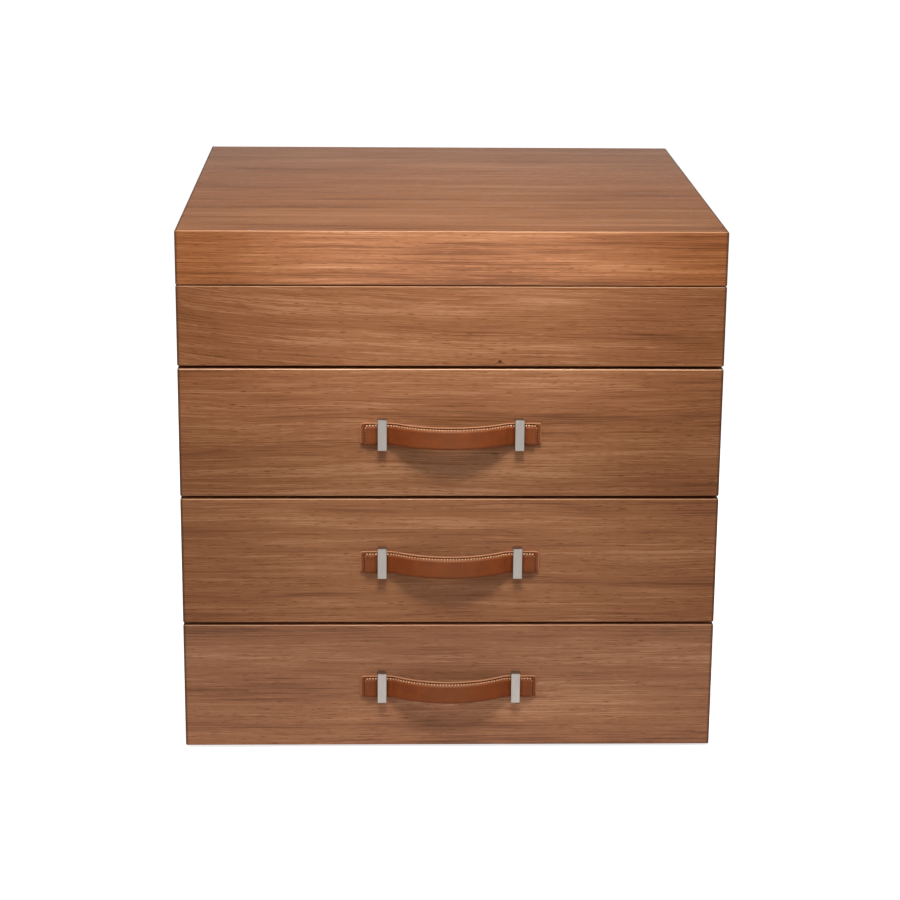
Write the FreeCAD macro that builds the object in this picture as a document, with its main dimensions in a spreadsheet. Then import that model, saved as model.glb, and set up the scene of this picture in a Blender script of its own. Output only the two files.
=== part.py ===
import FreeCAD, Part
import math
import os
import re
import Sketcher

# A walnut chest: three drawers with leather strap pulls and, above them, a compartment under a lift-up lid.
# Millimetres. +X is to the right as seen from the front, +Y to the back, +Z up. The origin is the middle of
# the footprint, pulls and hinge barrels included, on the surface that the four pads stand on.

DRAWERS = 3
TAILS = 3
KNUCKLES = 5
# Cutters run this far past the faces that they open.
SPARE = 1
# Points nearer than this count as one.
TOUCHING = 1e-6

SIZES = {
    # Whole chest, over the show faces.
    "width": 380,
    "depth": 380,
    "foot_height": 2,
    "drawer_front_height": 92.3,
    "drawer_gap": 2,
    "upper_front_height": 56.5,
    "lid_gap": 0.8,
    "lid_height": 37.8,
    # Boards of the case and the lid.
    "front_thickness": 18,
    "side_thickness": 15,
    "back_thickness": 12,
    "bottom_thickness": 12,
    "floor_thickness": 10,
    "lid_wall": 12,
    "side_rebate": 8,
    "floor_housing": 6,
    "edge_radius": 1,
    "seam_radius": 0.7,
    # Pads, bumpers and dowels.
    "foot_radius": 14,
    "foot_inset": 32,
    "bumper_radius": 3,
    "bumper_inset": 20,
    "dowel_radius": 4,
    "dowel_in_front": 12,
    "dowel_in_side": 18,
    "dowel_spacing": 24,
    "dowel_clearance": 0.1,
    # Drawer box: its place behind the show front, its boards and its dovetails.
    "drawer_clearance": 1,
    "drawer_back_clearance": 10,
    "drawer_rise": 2,
    "drawer_box_height": 76,
    "drawer_head_room": 4,
    "drawer_wall": 12,
    "drawer_bottom_thickness": 6,
    "drawer_bottom_rise": 8,
    "drawer_bottom_groove": 5,
    "drawer_bottom_play": 0.3,
    "dovetail_pin": 6,
    "dovetail_flare": 2,
    # Wooden runners, let into the case and running in grooves of the drawer sides.
    "runner_height": 12,
    "runner_rise": 32,
    "runner_housing": 3,
    "runner_groove_depth": 6.5,
    "runner_groove_stop": 20,
    "runner_end_clearance": 1,
    "runner_tip_clearance": 0.5,
    "runner_play": 0.6,
    # Stop pins in the drawer sides, which run in a slot of the runner and end the travel.
    "drawer_travel": 260,
    "stop_pin_radius": 2,
    "stop_pin_reach": 3.2,
    "stop_pin_inset": 8,
    "stop_pin_head_radius": 4,
    "stop_pin_head_height": 1.5,
    "stop_slot_depth": 4,
    "stop_slot_play": 0.5,
    "stop_clearance": 0.3,
    # Strap pull: two loops with studs and nuts, and a bowed strap through them.
    "loop_spacing": 96,
    "loop_width": 6.5,
    "loop_height": 22.3,
    "loop_bar": 1.8,
    "loop_leg": 2.5,
    "loop_edge_radius": 0.4,
    "stud_radius": 1.25,
    "stud_tail": 1,
    "stud_clearance": 0.1,
    "nut_circumradius": 2.9,
    "nut_height": 2,
    "strap_length": 126.5,
    "strap_height": 16,
    "strap_thickness": 4.2,
    "strap_slack": 0.5,
    "strap_bow": 13,
    "strap_straight": 1,
    "strap_bend_radius": 11,
    "strap_edge_radius": 0.9,
    "strap_corner_radius": 1.8,
    # Butt hinges, let into the back edges of the case and the lid.
    "hinge_length": 50,
    "hinge_spacing": 220,
    "hinge_offset": 0.6,
    "leaf_width": 9,
    "leaf_thickness": 1.8,
    "barrel_radius": 3,
    "knuckle_gap": 0.2,
    "hinge_pin_radius": 1.5,
    "hinge_pin_clearance": 0.05,
    # Countersunk screws.
    "screw_clearance": 0.1,
    "screw_slot_width": 0.7,
    "screw_slot_depth": 0.5,
    "hinge_screw_head": 2.2,
    "hinge_screw_shank": 1.1,
    "hinge_screw_length": 12,
    "hinge_screw_pitch": 16,
    "runner_screw_head": 2.3,
    "runner_screw_shank": 1.25,
    "runner_screw_length": 14,
    "runner_screw_inset": 26,
    "front_screw_head": 3.5,
    "front_screw_shank": 1.75,
    "front_screw_length": 25,
    "front_screw_spread": 220,
    "front_screw_margin": 2.5,
    "front_screw_rise": 36,
}

# Places, as sums of the sizes. Those of a drawer count their height from the lower edge of its show front.
PULL_REACH = "(strap_bow + strap_thickness)"
BARREL_REACH = "(hinge_offset + 2 * barrel_radius)"
FRONT = f"(({PULL_REACH} - {BARREL_REACH} - depth) / 2)"
BACK = f"({FRONT} + depth)"
INSIDE_FRONT = f"({FRONT} + front_thickness)"
INSIDE_BACK = f"({BACK} - back_thickness)"
INSIDE_SIDE = "(width / 2 - side_thickness)"
# The box stands clear of the case bottom, and what lies above a drawer clears its front and its box.
BOX_LOW = "(bottom_thickness + drawer_rise)"
BOX_HIGH = f"({BOX_LOW} + drawer_box_height)"
PITCH = f"max(drawer_front_height + drawer_gap; {BOX_HIGH} + drawer_head_room)"
FLOOR = f"(foot_height + {DRAWERS} * {PITCH})"
RIM = f"({FLOOR} + upper_front_height)"
LID = f"({RIM} + lid_gap)"
LID_TOP = f"({LID} + lid_height)"
BOX_HALF = f"({INSIDE_SIDE} - drawer_clearance)"
BOX_BACK = f"({INSIDE_BACK} - drawer_back_clearance)"
BOX_INSIDE_FRONT = f"({INSIDE_FRONT} + drawer_wall)"
BOTTOM_LOW = f"({BOX_LOW} + drawer_bottom_rise)"
RUNNER_FRONT = f"({INSIDE_FRONT} + runner_groove_stop + runner_end_clearance)"
RUNNER_LOW = f"({BOX_LOW} + runner_rise)"
RUNNER_MIDDLE = f"({RUNNER_LOW} + runner_height / 2)"
RUNNER_TIP = f"({BOX_HALF} - runner_groove_depth + runner_tip_clearance)"
STOP_PIN = f"({BOX_BACK} - drawer_wall - stop_pin_inset)"
STOP_SLOT = f"({STOP_PIN} - drawer_travel - stop_pin_radius - stop_clearance)"
LOOP_REACH = "(strap_thickness + strap_slack + loop_bar)"
LOOP_MIDDLE = "(drawer_front_height / 2)"
HINGE_Y = f"({BACK} + hinge_offset + barrel_radius)"
HINGE_Z = f"({RIM} + lid_gap / 2)"

UPRIGHT = FreeCAD.Rotation()
# Turns that point an upright cylinder or screw head along another axis.
ALONG_X = FreeCAD.Rotation(FreeCAD.Vector(0, 1, 0), 90)
ALONG_Y = FreeCAD.Rotation(FreeCAD.Vector(1, 0, 0), -90)
UPSIDE_DOWN = FreeCAD.Rotation(FreeCAD.Vector(1, 0, 0), 180)
QUARTER_LEFT = FreeCAD.Rotation(FreeCAD.Vector(0, 0, 1), 90)
QUARTER_RIGHT = FreeCAD.Rotation(FreeCAD.Vector(0, 0, 1), -90)
# Local Y becomes up.
STOOD_UP = FreeCAD.Rotation(FreeCAD.Vector(1, 0, 0), 90)

doc = FreeCAD.newDocument("chest")
sheet = doc.addObject("Spreadsheet::Sheet", "Sizes")
for row, (alias, size) in enumerate(SIZES.items(), start=1):
    sheet.set(f"A{row}", alias)
    sheet.set(f"B{row}", str(size))
    sheet.setAlias(f"B{row}", alias)
doc.recompute()

nodes = {}


def bound(sum_of_sizes):
    """The same sum, with each size's name, which no bracket follows, pointed at its cell."""
    return re.sub(r"[a-z_]+(?![a-z_(])", lambda word: f"Sizes.{word.group()}", sum_of_sizes)


def number(sum_of_sizes):
    """The sum's value now."""
    return float(sheet.evalExpression(bound(sum_of_sizes)))


def place(thing, spot, turn=UPRIGHT):
    """Turn the object and tie its base point to three sums."""
    thing.Placement = FreeCAD.Placement(FreeCAD.Vector(), turn)
    for axis, sum_of_sizes in zip("xyz", spot):
        thing.setExpression(f"Placement.Base.{axis}", bound(sum_of_sizes))
    return thing


def add(kind, name, **sizes):
    """A new object of the document with the given properties tied to sums."""
    thing = doc.addObject(kind, name)
    for key, sum_of_sizes in sizes.items():
        thing.setExpression(key, bound(sum_of_sizes))
    return thing


def box(name, corner, size):
    """A block from its lowest corner."""
    block = add("Part::Box", name, Length=size[0], Width=size[1], Height=size[2])
    return place(block, corner)


def cylinder(name, spot, radius, length, turn=UPRIGHT):
    """A round bar that starts at the spot and runs along the turned Z axis."""
    return place(add("Part::Cylinder", name, Radius=radius, Height=length), spot, turn)


def wedge(name, low, high, spot=("0", "0", "0"), turn=UPRIGHT):
    """A frustum along Y; low and high are (y, x_min, x_max, z_min, z_max) of its two end rectangles."""
    thing = add(
        "Part::Wedge", name,
        Ymin=low[0], Xmin=low[1], Xmax=low[2], Zmin=low[3], Zmax=low[4],
        Ymax=high[0], X2min=high[1], X2max=high[2], Z2min=high[3], Z2max=high[4],
    )
    return place(thing, spot, turn)


def group(name, members):
    """Several separate solids as one object."""
    thing = doc.addObject("Part::Compound", name)
    thing.Links = members
    return thing


def moved(name, master, spot, turn=UPRIGHT):
    """A copy of a master piece, turned and placed."""
    return place(group(name, [master]), spot, turn)


def mirrored(name, master):
    """The right-hand copy of a left-hand piece."""
    thing = doc.addObject("Part::Mirroring", name)
    thing.Source = master
    thing.Normal = FreeCAD.Vector(1, 0, 0)
    return thing


def cut(name, base, *tools):
    """The base without the tools, one after the other."""
    for count, tool in enumerate(tools, start=1):
        step = doc.addObject("Part::Cut", name if count == len(tools) else f"{name}_step_{count}")
        step.Base = base
        step.Tool = tool
        base = step
    return base


def fuse(name, members):
    """The members joined to one solid."""
    thing = doc.addObject("Part::MultiFuse", name)
    thing.Shapes = members
    return thing


def common(name, first, second):
    """What the two have in common."""
    thing = doc.addObject("Part::Common", name)
    thing.Base = first
    thing.Tool = second
    return thing


def node(name, thing):
    """Name a finished sub-part, which gets a file of its own."""
    thing.Label = name
    nodes[name] = thing


def eased_board(name, corner, size, radius="edge_radius", seam=None):
    """A board with rounded edges; those of the face at the seam, "top" or "bottom", are rounded less."""
    body = place(doc.addObject("PartDesign::Body", name), corner)
    sketch = body.newObject("Sketcher::SketchObject", f"{name}_outline")
    plane = next(part for part in body.Origin.OriginFeatures if part.Role == "XY_Plane")
    sketch.AttachmentSupport = [(plane, "")]
    sketch.MapMode = "FlatFace"
    long, wide, high = (number(sum_of_sizes) for sum_of_sizes in size)
    corners = [FreeCAD.Vector(x, y) for x, y in ((0, 0), (long, 0), (long, wide), (0, wide))]
    for start, end in zip(corners, corners[1:] + corners[:1]):
        sketch.addGeometry(Part.LineSegment(start, end), False)
    for side in range(4):
        sketch.addConstraint(Sketcher.Constraint("Coincident", side, 2, (side + 1) % 4, 1))
        sketch.addConstraint(Sketcher.Constraint("Vertical" if side % 2 else "Horizontal", side))
    sketch.addConstraint(Sketcher.Constraint("Coincident", 0, 1, -1, 1))
    length = sketch.addConstraint(Sketcher.Constraint("DistanceX", 0, 1, 0, 2, long))
    width = sketch.addConstraint(Sketcher.Constraint("DistanceY", 1, 1, 1, 2, wide))
    sketch.setExpression(f"Constraints[{length}]", bound(size[0]))
    sketch.setExpression(f"Constraints[{width}]", bound(size[1]))
    pad = body.newObject("PartDesign::Pad", f"{name}_pad")
    pad.Profile = sketch
    pad.setExpression("Length", bound(size[2]))
    doc.recompute()

    def edges_of(feature, at_seam):
        level = {"top": high, "bottom": 0}.get(seam)
        chosen = []
        for count, edge in enumerate(feature.Shape.Edges, start=1):
            flat = level is not None and all(abs(v.Z - level) < TOUCHING for v in edge.Vertexes)
            if flat == at_seam:
                chosen.append(f"Edge{count}")
        return chosen

    rounded = body.newObject("PartDesign::Fillet", f"{name}_rounding")
    rounded.Base = (pad, edges_of(pad, False))
    rounded.setExpression("Radius", bound(radius))
    doc.recompute()
    if seam:
        eased = body.newObject("PartDesign::Fillet", f"{name}_seam_rounding")
        eased.Base = (rounded, edges_of(rounded, True))
        eased.setExpression("Radius", bound("seam_radius"))
        doc.recompute()
    return body


def screw(kind, grown=False):
    """A slotted countersunk screw with its head's face at the origin, pointing down, or the hole for it."""
    more = "screw_clearance" if grown else "0"
    name = f"{kind}_hole" if grown else kind
    head = f"({kind}_head + {more})"
    shank = f"({kind}_shank + {more})"
    tall = f"({kind}_head - {kind}_shank)"
    cone = add("Part::Cone", f"{name}_cone", Radius1=shank, Radius2=head, Height=tall)
    place(cone, ("0", "0", f"-{tall}"))
    length = f"({kind}_length + {more})"
    stem = cylinder(f"{name}_stem", ("0", "0", f"-{length}"), shank, f"{length} - {tall}")
    whole = fuse(f"{name}_whole", [cone, stem])
    if grown:
        return whole
    slot = box(
        f"{name}_slot",
        (f"-{head} - {SPARE}", "-screw_slot_width / 2", "-screw_slot_depth"),
        (f"2 * ({head} + {SPARE})", "screw_slot_width", f"screw_slot_depth + {SPARE}"),
    )
    return cut(f"{name}_master", whole, slot)


def both_sides(name, master):
    """A left-hand piece and its mirror image as one object."""
    return group(name, [master, mirrored(f"{name}_right", master)])


def at_each_drawer(name, master):
    """The master at the height of each drawer, counted from the top."""
    heights = [f"foot_height + {DRAWERS - 1 - count} * {PITCH}" for count in range(DRAWERS)]
    return [moved(f"{name}_{count}", master, ("0", "0", z)) for count, z in enumerate(heights, start=1)]


def at_each_hinge(name, master):
    """The master at both hinges."""
    spots = {"left": "-hinge_spacing / 2", "right": "hinge_spacing / 2"}
    return group(name, [moved(f"{name}_{side}", master, (x, "0", "0")) for side, x in spots.items()])


def row_of(name, master, spots, turn=UPRIGHT):
    """Copies of the master at each of the spots."""
    return group(name, [moved(f"{name}_{i}", master, spot, turn) for i, spot in enumerate(spots)])


# Screws along the runner slots, which every runner and both case sides share.
runner_screw_rear = f"({INSIDE_BACK} - runner_screw_inset)"
runner_screw_front = f"(max({STOP_SLOT}; {RUNNER_FRONT}) + runner_screw_inset)"
runner_screw_spots = [
    (f"-{RUNNER_TIP} - stop_slot_depth", y, RUNNER_MIDDLE)
    for y in (runner_screw_front, f"({runner_screw_front} + {runner_screw_rear}) / 2", runner_screw_rear)
]
runner_screw_row = row_of("runner_screw_row", screw("runner_screw"), runner_screw_spots, ALONG_X)
runner_hole_row = row_of("runner_hole_row", screw("runner_screw", True), runner_screw_spots, ALONG_X)

# Dowels between the upper front and the sides.
dowel_x = "side_thickness / 2 - width / 2"
dowel_y = f"{INSIDE_FRONT} - dowel_in_front"
dowel_z = f"{FLOOR} + upper_front_height / 2"
dowel_spots = [(dowel_x, dowel_y, f"{dowel_z} {sign} dowel_spacing / 2") for sign in "-+"]
dowel = cylinder("dowel", ("0", "0", "0"), "dowel_radius", "dowel_in_front + dowel_in_side", ALONG_Y)
dowel_hole = cylinder(
    "dowel_hole", ("0", "-dowel_clearance", "0"), "dowel_radius + dowel_clearance",
    "dowel_in_front + dowel_in_side + 2 * dowel_clearance", ALONG_Y,
)
dowel_holes = row_of("dowel_holes", dowel_hole, dowel_spots)
node("upper_front_dowels", both_sides("dowels", row_of("dowel_row", dowel, dowel_spots)))

# Case sides: rebated for the back and the bottom, housed for the floor and the runners.
side_blank = eased_board(
    "side_blank", ("-width / 2", INSIDE_FRONT, "foot_height"),
    ("side_thickness", "depth - front_thickness", f"{RIM} - foot_height"), seam="top",
)
back_rebate = box(
    "back_rebate", (f"-{INSIDE_SIDE} - side_rebate", INSIDE_BACK, f"foot_height - {SPARE}"),
    (f"side_rebate + {SPARE}", f"back_thickness + {SPARE}", f"{RIM} - foot_height + {2 * SPARE}"),
)
bottom_rebate = box(
    "bottom_rebate", (f"-{INSIDE_SIDE} - side_rebate", f"{INSIDE_FRONT} - {SPARE}", f"foot_height - {SPARE}"),
    (f"side_rebate + {SPARE}", f"{INSIDE_BACK} - {INSIDE_FRONT} + {SPARE}", f"bottom_thickness + {SPARE}"),
)
floor_groove = box(
    "floor_groove", (f"-{INSIDE_SIDE} - floor_housing", f"{INSIDE_FRONT} - {SPARE}", FLOOR),
    (f"floor_housing + {SPARE}", f"{INSIDE_BACK} - {INSIDE_FRONT} + {SPARE}", "floor_thickness"),
)
runner_seat = box(
    "runner_seat", (f"-{INSIDE_SIDE} - runner_housing", RUNNER_FRONT, RUNNER_LOW),
    (f"runner_housing + {SPARE}", f"{INSIDE_BACK} - {RUNNER_FRONT}", "runner_height"),
)
left_side = cut(
    "left_side", side_blank, back_rebate, bottom_rebate, floor_groove,
    group("runner_seats", at_each_drawer("runner_seat_of", runner_seat)),
    group("side_screw_holes", at_each_drawer("side_screw_holes_of", runner_hole_row)),
    dowel_holes,
)
node("case_left_side", left_side)
node("case_right_side", mirrored("right_side", left_side))

# Case bottom, compartment floor and upper front.
panel_half = f"({INSIDE_SIDE} + side_rebate)"
node("case_bottom", box(
    "bottom", (f"-{panel_half}", INSIDE_FRONT, "foot_height"),
    (f"2 * {panel_half}", f"{INSIDE_BACK} - {INSIDE_FRONT}", "bottom_thickness"),
))
floor_half = f"({INSIDE_SIDE} + floor_housing)"
node("compartment_floor", box(
    "floor", (f"-{floor_half}", INSIDE_FRONT, FLOOR),
    (f"2 * {floor_half}", f"{INSIDE_BACK} - {INSIDE_FRONT}", "floor_thickness"),
))
upper_blank = eased_board(
    "upper_blank", ("-width / 2", FRONT, FLOOR),
    ("width", "front_thickness", "upper_front_height"), seam="top",
)
node("upper_front", cut("upper_front_bored", upper_blank, both_sides("dowel_bores", dowel_holes)))

# Pads under the case and bumpers under the lid.
foot = cylinder("foot", ("0", "0", "0"), "foot_radius", "foot_height")
foot_spots = [
    (x, y, "0")
    for x in ("foot_inset - width / 2", "width / 2 - foot_inset")
    for y in (f"{FRONT} + foot_inset", f"{BACK} - foot_inset")
]
node("foot_pads", row_of("feet", foot, foot_spots))
bumper_spot = ("bumper_inset - width / 2", f"{FRONT} + lid_wall / 2", RIM)
bumper = cylinder("bumper", bumper_spot, "bumper_radius", "lid_gap")
node("lid_bumpers", both_sides("bumpers", bumper))

# Hinge leaves: a plate let into the wood, and every second knuckle of the barrel.
knuckle_pitch = f"hinge_length / {KNUCKLES}"
hinge_bore = cylinder(
    "hinge_bore", (f"-hinge_length / 2 - {SPARE}", HINGE_Y, HINGE_Z),
    "hinge_pin_radius + hinge_pin_clearance", f"hinge_length + {2 * SPARE}", ALONG_X,
)
hinge_pin = cylinder(
    "hinge_pin", ("-hinge_length / 2", HINGE_Y, HINGE_Z), "hinge_pin_radius", "hinge_length", ALONG_X,
)
hinge_screw = screw("hinge_screw")
hinge_screw_hole = screw("hinge_screw", True)


def hinge_leaf(name, first_knuckle, low, face, turn):
    """One leaf, its mortise, its screws and their holes; low is its underside, face its screwed face."""
    plate = box(
        f"{name}_plate", ("-hinge_length / 2", f"{BACK} - leaf_width", low),
        ("hinge_length", "leaf_width + hinge_offset / 2", "leaf_thickness"),
    )
    pieces = [plate]
    for count in range(first_knuckle, KNUCKLES, 2):
        start = f"{count} * {knuckle_pitch} - hinge_length / 2 + knuckle_gap / 2"
        length = f"{knuckle_pitch} - knuckle_gap"
        tongue = (length, "hinge_offset + barrel_radius", "leaf_thickness")
        axis = (start, HINGE_Y, HINGE_Z)
        pieces.append(box(f"{name}_tongue_{count}", (start, BACK, low), tongue))
        pieces.append(cylinder(f"{name}_knuckle_{count}", axis, "barrel_radius", length, ALONG_X))
    spots = [(f"{step} * hinge_screw_pitch", f"{BACK} - leaf_width / 2", face) for step in (-1, 0, 1)]
    screws = row_of(f"{name}_screw_row", hinge_screw, spots, turn)
    holes = row_of(f"{name}_hole_row", hinge_screw_hole, spots, turn)
    leaf = cut(f"{name}_bored", fuse(f"{name}_whole", pieces), hinge_bore, holes)
    mortise = box(
        f"{name}_mortise", ("-hinge_length / 2", f"{BACK} - leaf_width", low),
        ("hinge_length", f"leaf_width + {SPARE}", "leaf_thickness"),
    )
    return leaf, mortise, screws, holes


leaf, mortise, screws, holes = hinge_leaf("case_leaf", 0, f"{RIM} - leaf_thickness", RIM, UPRIGHT)
node("hinge_case_leaves", at_each_hinge("case_leaves", leaf))
node("hinge_case_screws", at_each_hinge("case_leaf_screws", screws))
node("hinge_pins", at_each_hinge("hinge_pin_pair", hinge_pin))
back_blank = box(
    "back_blank", (f"-{panel_half}", INSIDE_BACK, "foot_height"),
    (f"2 * {panel_half}", "back_thickness", f"{RIM} - foot_height"),
)
node("case_back", cut(
    "back_mortised", back_blank,
    at_each_hinge("case_mortises", mortise), at_each_hinge("case_leaf_screw_holes", holes),
))

# Lid: five boards mitred at 45 degrees along every edge, out of one eased block.
leaf, mortise, screws, holes = hinge_leaf("lid_leaf", 1, LID, LID, UPSIDE_DOWN)
node("hinge_lid_leaves", at_each_hinge("lid_leaves", leaf))
node("hinge_lid_screws", at_each_hinge("lid_leaf_screws", screws))
lid_block = eased_board(
    "lid_block", ("-width / 2", FRONT, LID), ("width", "depth", "lid_height"), seam="bottom",
)


def lid_face(distance, half, inset):
    """One end of a lid rail: its distance from the middle, and its rectangle, drawn in by the inset."""
    return (distance, f"{inset} - {half}", f"{half} - {inset}", LID, f"{LID_TOP} - {inset}")


rail_front = wedge(
    "rail_front", lid_face(FRONT, "width / 2", "0"), lid_face(f"{FRONT} + lid_wall", "width / 2", "lid_wall"),
)
rail_back = wedge(
    "rail_back", lid_face(f"{BACK} - lid_wall", "width / 2", "lid_wall"), lid_face(BACK, "width / 2", "0"),
)
rail_ends = lid_face("width / 2 - lid_wall", "depth / 2", "lid_wall"), lid_face("width / 2", "depth / 2", "0")
lid_middle = ("0", f"{FRONT} + depth / 2", "0")
rail_left = wedge("rail_left", *rail_ends, lid_middle, QUARTER_LEFT)
rail_right = wedge("rail_right", *rail_ends, lid_middle, QUARTER_RIGHT)
panel_x = "width / 2 - lid_wall"
panel_y = "depth / 2 - lid_wall"
panel = wedge(
    "panel",
    (f"{LID_TOP} - lid_wall", f"-({panel_x})", panel_x, f"-({panel_y})", panel_y),
    (LID_TOP, "-width / 2", "width / 2", "-depth / 2", "depth / 2"),
    lid_middle, STOOD_UP,
)
node("lid_top", common("lid_panel", lid_block, panel))
node("lid_front_rail", common("lid_rail_front", lid_block, rail_front))
node("lid_left_rail", common("lid_rail_left", lid_block, rail_left))
node("lid_right_rail", common("lid_rail_right", lid_block, rail_right))
node("lid_back_rail", cut(
    "lid_rail_mortised", common("lid_rail_back", lid_block, rail_back),
    at_each_hinge("lid_mortises", mortise), at_each_hinge("lid_leaf_screw_holes", holes),
))

# Runners, with a slot along the inner face for the stop pin.
runner_blank = box(
    "runner_blank", (f"-{INSIDE_SIDE} - runner_housing", RUNNER_FRONT, RUNNER_LOW),
    (f"{INSIDE_SIDE} + runner_housing - {RUNNER_TIP}", f"{INSIDE_BACK} - {RUNNER_FRONT}", "runner_height"),
)
stop_slot_half = "(stop_pin_radius + stop_slot_play)"
stop_slot = box(
    "stop_slot", (f"-{RUNNER_TIP} - stop_slot_depth", STOP_SLOT, f"{RUNNER_MIDDLE} - {stop_slot_half}"),
    (f"stop_slot_depth + {SPARE}", f"{INSIDE_BACK} - {STOP_SLOT} + {SPARE}", f"2 * {stop_slot_half}"),
)
runner = cut("runner", runner_blank, stop_slot, runner_hole_row)
for count, pair in enumerate(at_each_drawer("runner_pair", both_sides("runners", runner)), start=1):
    node(f"drawer_{count}_runners", pair)
runner_screws = at_each_drawer("runner_screws_of", both_sides("runner_screw_rows", runner_screw_row))
node("runner_screws", group("all_runner_screws", runner_screws))

# Drawer box, modelled once with the lower edge of its show front at height 0.
box_length = f"({BOX_BACK} - {INSIDE_FRONT})"
side_board = box(
    "side_board", (f"-{BOX_HALF}", INSIDE_FRONT, BOX_LOW),
    ("drawer_wall", box_length, "drawer_box_height"),
)
sockets = []
for count in range(TAILS + 1):
    height = f"{BOX_LOW} + {count} * drawer_box_height / {TAILS}"

    def socket_end(y, more):
        """One end of a socket, which is wider at the root of the tails."""
        half = f"(dovetail_pin / 2 + {more})"
        outside = f"-{BOX_HALF} - {SPARE}"
        inside = f"drawer_wall - {BOX_HALF} + {SPARE}"
        return (y, outside, inside, f"{height} - {half}", f"{height} + {half}")

    front_end = socket_end(INSIDE_FRONT, "0")
    sockets.append(wedge(f"socket_front_{count}", front_end, socket_end(BOX_INSIDE_FRONT, "dovetail_flare")))
    back_root = socket_end(f"{BOX_BACK} - drawer_wall", "dovetail_flare")
    sockets.append(wedge(f"socket_back_{count}", back_root, socket_end(BOX_BACK, "0")))
tailed_side = cut("tailed_side", side_board, group("sockets", sockets))
tailed_other = mirrored("tailed_other", tailed_side)

pocket_half = f"({BOX_HALF} - drawer_wall + drawer_bottom_groove)"
pocket_front = f"({BOX_INSIDE_FRONT} - drawer_bottom_groove)"
pocket_length = f"({BOX_BACK} - drawer_wall + drawer_bottom_groove - {pocket_front})"
bottom_pocket = box(
    "bottom_pocket", (f"-{pocket_half}", pocket_front, BOTTOM_LOW),
    (f"2 * {pocket_half}", pocket_length, "drawer_bottom_thickness"),
)
runner_groove = box(
    "runner_groove",
    (f"-{BOX_HALF} - {SPARE}", f"{INSIDE_FRONT} + runner_groove_stop", f"{RUNNER_LOW} - runner_play"),
    (f"runner_groove_depth + {SPARE}", f"{box_length} - runner_groove_stop + {SPARE}",
     "runner_height + runner_play"),
)
stop_pin_shaft_start = f"-{RUNNER_TIP} - stop_pin_reach"
stop_pin_shaft_length = f"{RUNNER_TIP} + stop_pin_reach - {BOX_HALF} + drawer_wall"
stop_pin_hole = cylinder(
    "stop_pin_hole", (stop_pin_shaft_start, STOP_PIN, RUNNER_MIDDLE),
    "stop_pin_radius + screw_clearance", f"{stop_pin_shaft_length} + {SPARE}", ALONG_X,
)
drawer_side = cut("drawer_side", tailed_side, runner_groove, bottom_pocket, stop_pin_hole)
stop_pin = fuse("stop_pin", [
    cylinder(
        "stop_pin_shaft", (stop_pin_shaft_start, STOP_PIN, RUNNER_MIDDLE), "stop_pin_radius",
        f"{stop_pin_shaft_length} + stop_pin_head_height / 2", ALONG_X,
    ),
    cylinder(
        "stop_pin_head", (f"drawer_wall - {BOX_HALF}", STOP_PIN, RUNNER_MIDDLE), "stop_pin_head_radius",
        "stop_pin_head_height", ALONG_X,
    ),
])

# Loops with two studs each, which pass through the show front and the inner front to their nuts.
loop_blank = eased_board(
    "loop_blank",
    ("-loop_spacing / 2 - loop_width / 2", f"{FRONT} - {LOOP_REACH}", f"{LOOP_MIDDLE} - loop_height / 2"),
    ("loop_width", LOOP_REACH, "loop_height"), "loop_edge_radius",
)
loop_window = box(
    "loop_window",
    (f"-loop_spacing / 2 - loop_width / 2 - {SPARE}", f"{FRONT} - {LOOP_REACH} + loop_bar",
     f"{LOOP_MIDDLE} - loop_height / 2 + loop_leg"),
    (f"loop_width + {2 * SPARE}", f"{LOOP_REACH} - loop_bar + {SPARE}", "loop_height - 2 * loop_leg"),
)
stud_spots = [
    ("-loop_spacing / 2", FRONT, f"{LOOP_MIDDLE} {sign} (loop_height - loop_leg) / 2") for sign in "-+"
]
stud_length = "(front_thickness + drawer_wall + nut_height + stud_tail)"
stud = cylinder("stud", ("0", "-loop_bar", "0"), "stud_radius", f"{stud_length} + loop_bar", ALONG_Y)
stud_bore = cylinder(
    "stud_bore", ("0", f"-{SPARE}", "0"), "stud_radius + stud_clearance", f"{stud_length} + {SPARE}", ALONG_Y,
)
stud_bores = both_sides("stud_bores", row_of("stud_bore_row", stud_bore, stud_spots))
loop = fuse("loop", [cut("loop_bow", loop_blank, loop_window), row_of("studs", stud, stud_spots)])
nut_blank = add("Part::Prism", "nut_blank", Circumradius="nut_circumradius", Height="nut_height")
nut_blank.Polygon = 6
place(nut_blank, ("0", "front_thickness + drawer_wall", "0"), ALONG_Y)
nut = cut("nut", nut_blank, stud_bore)
nuts = both_sides("nuts", row_of("nut_row", nut, stud_spots))


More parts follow.
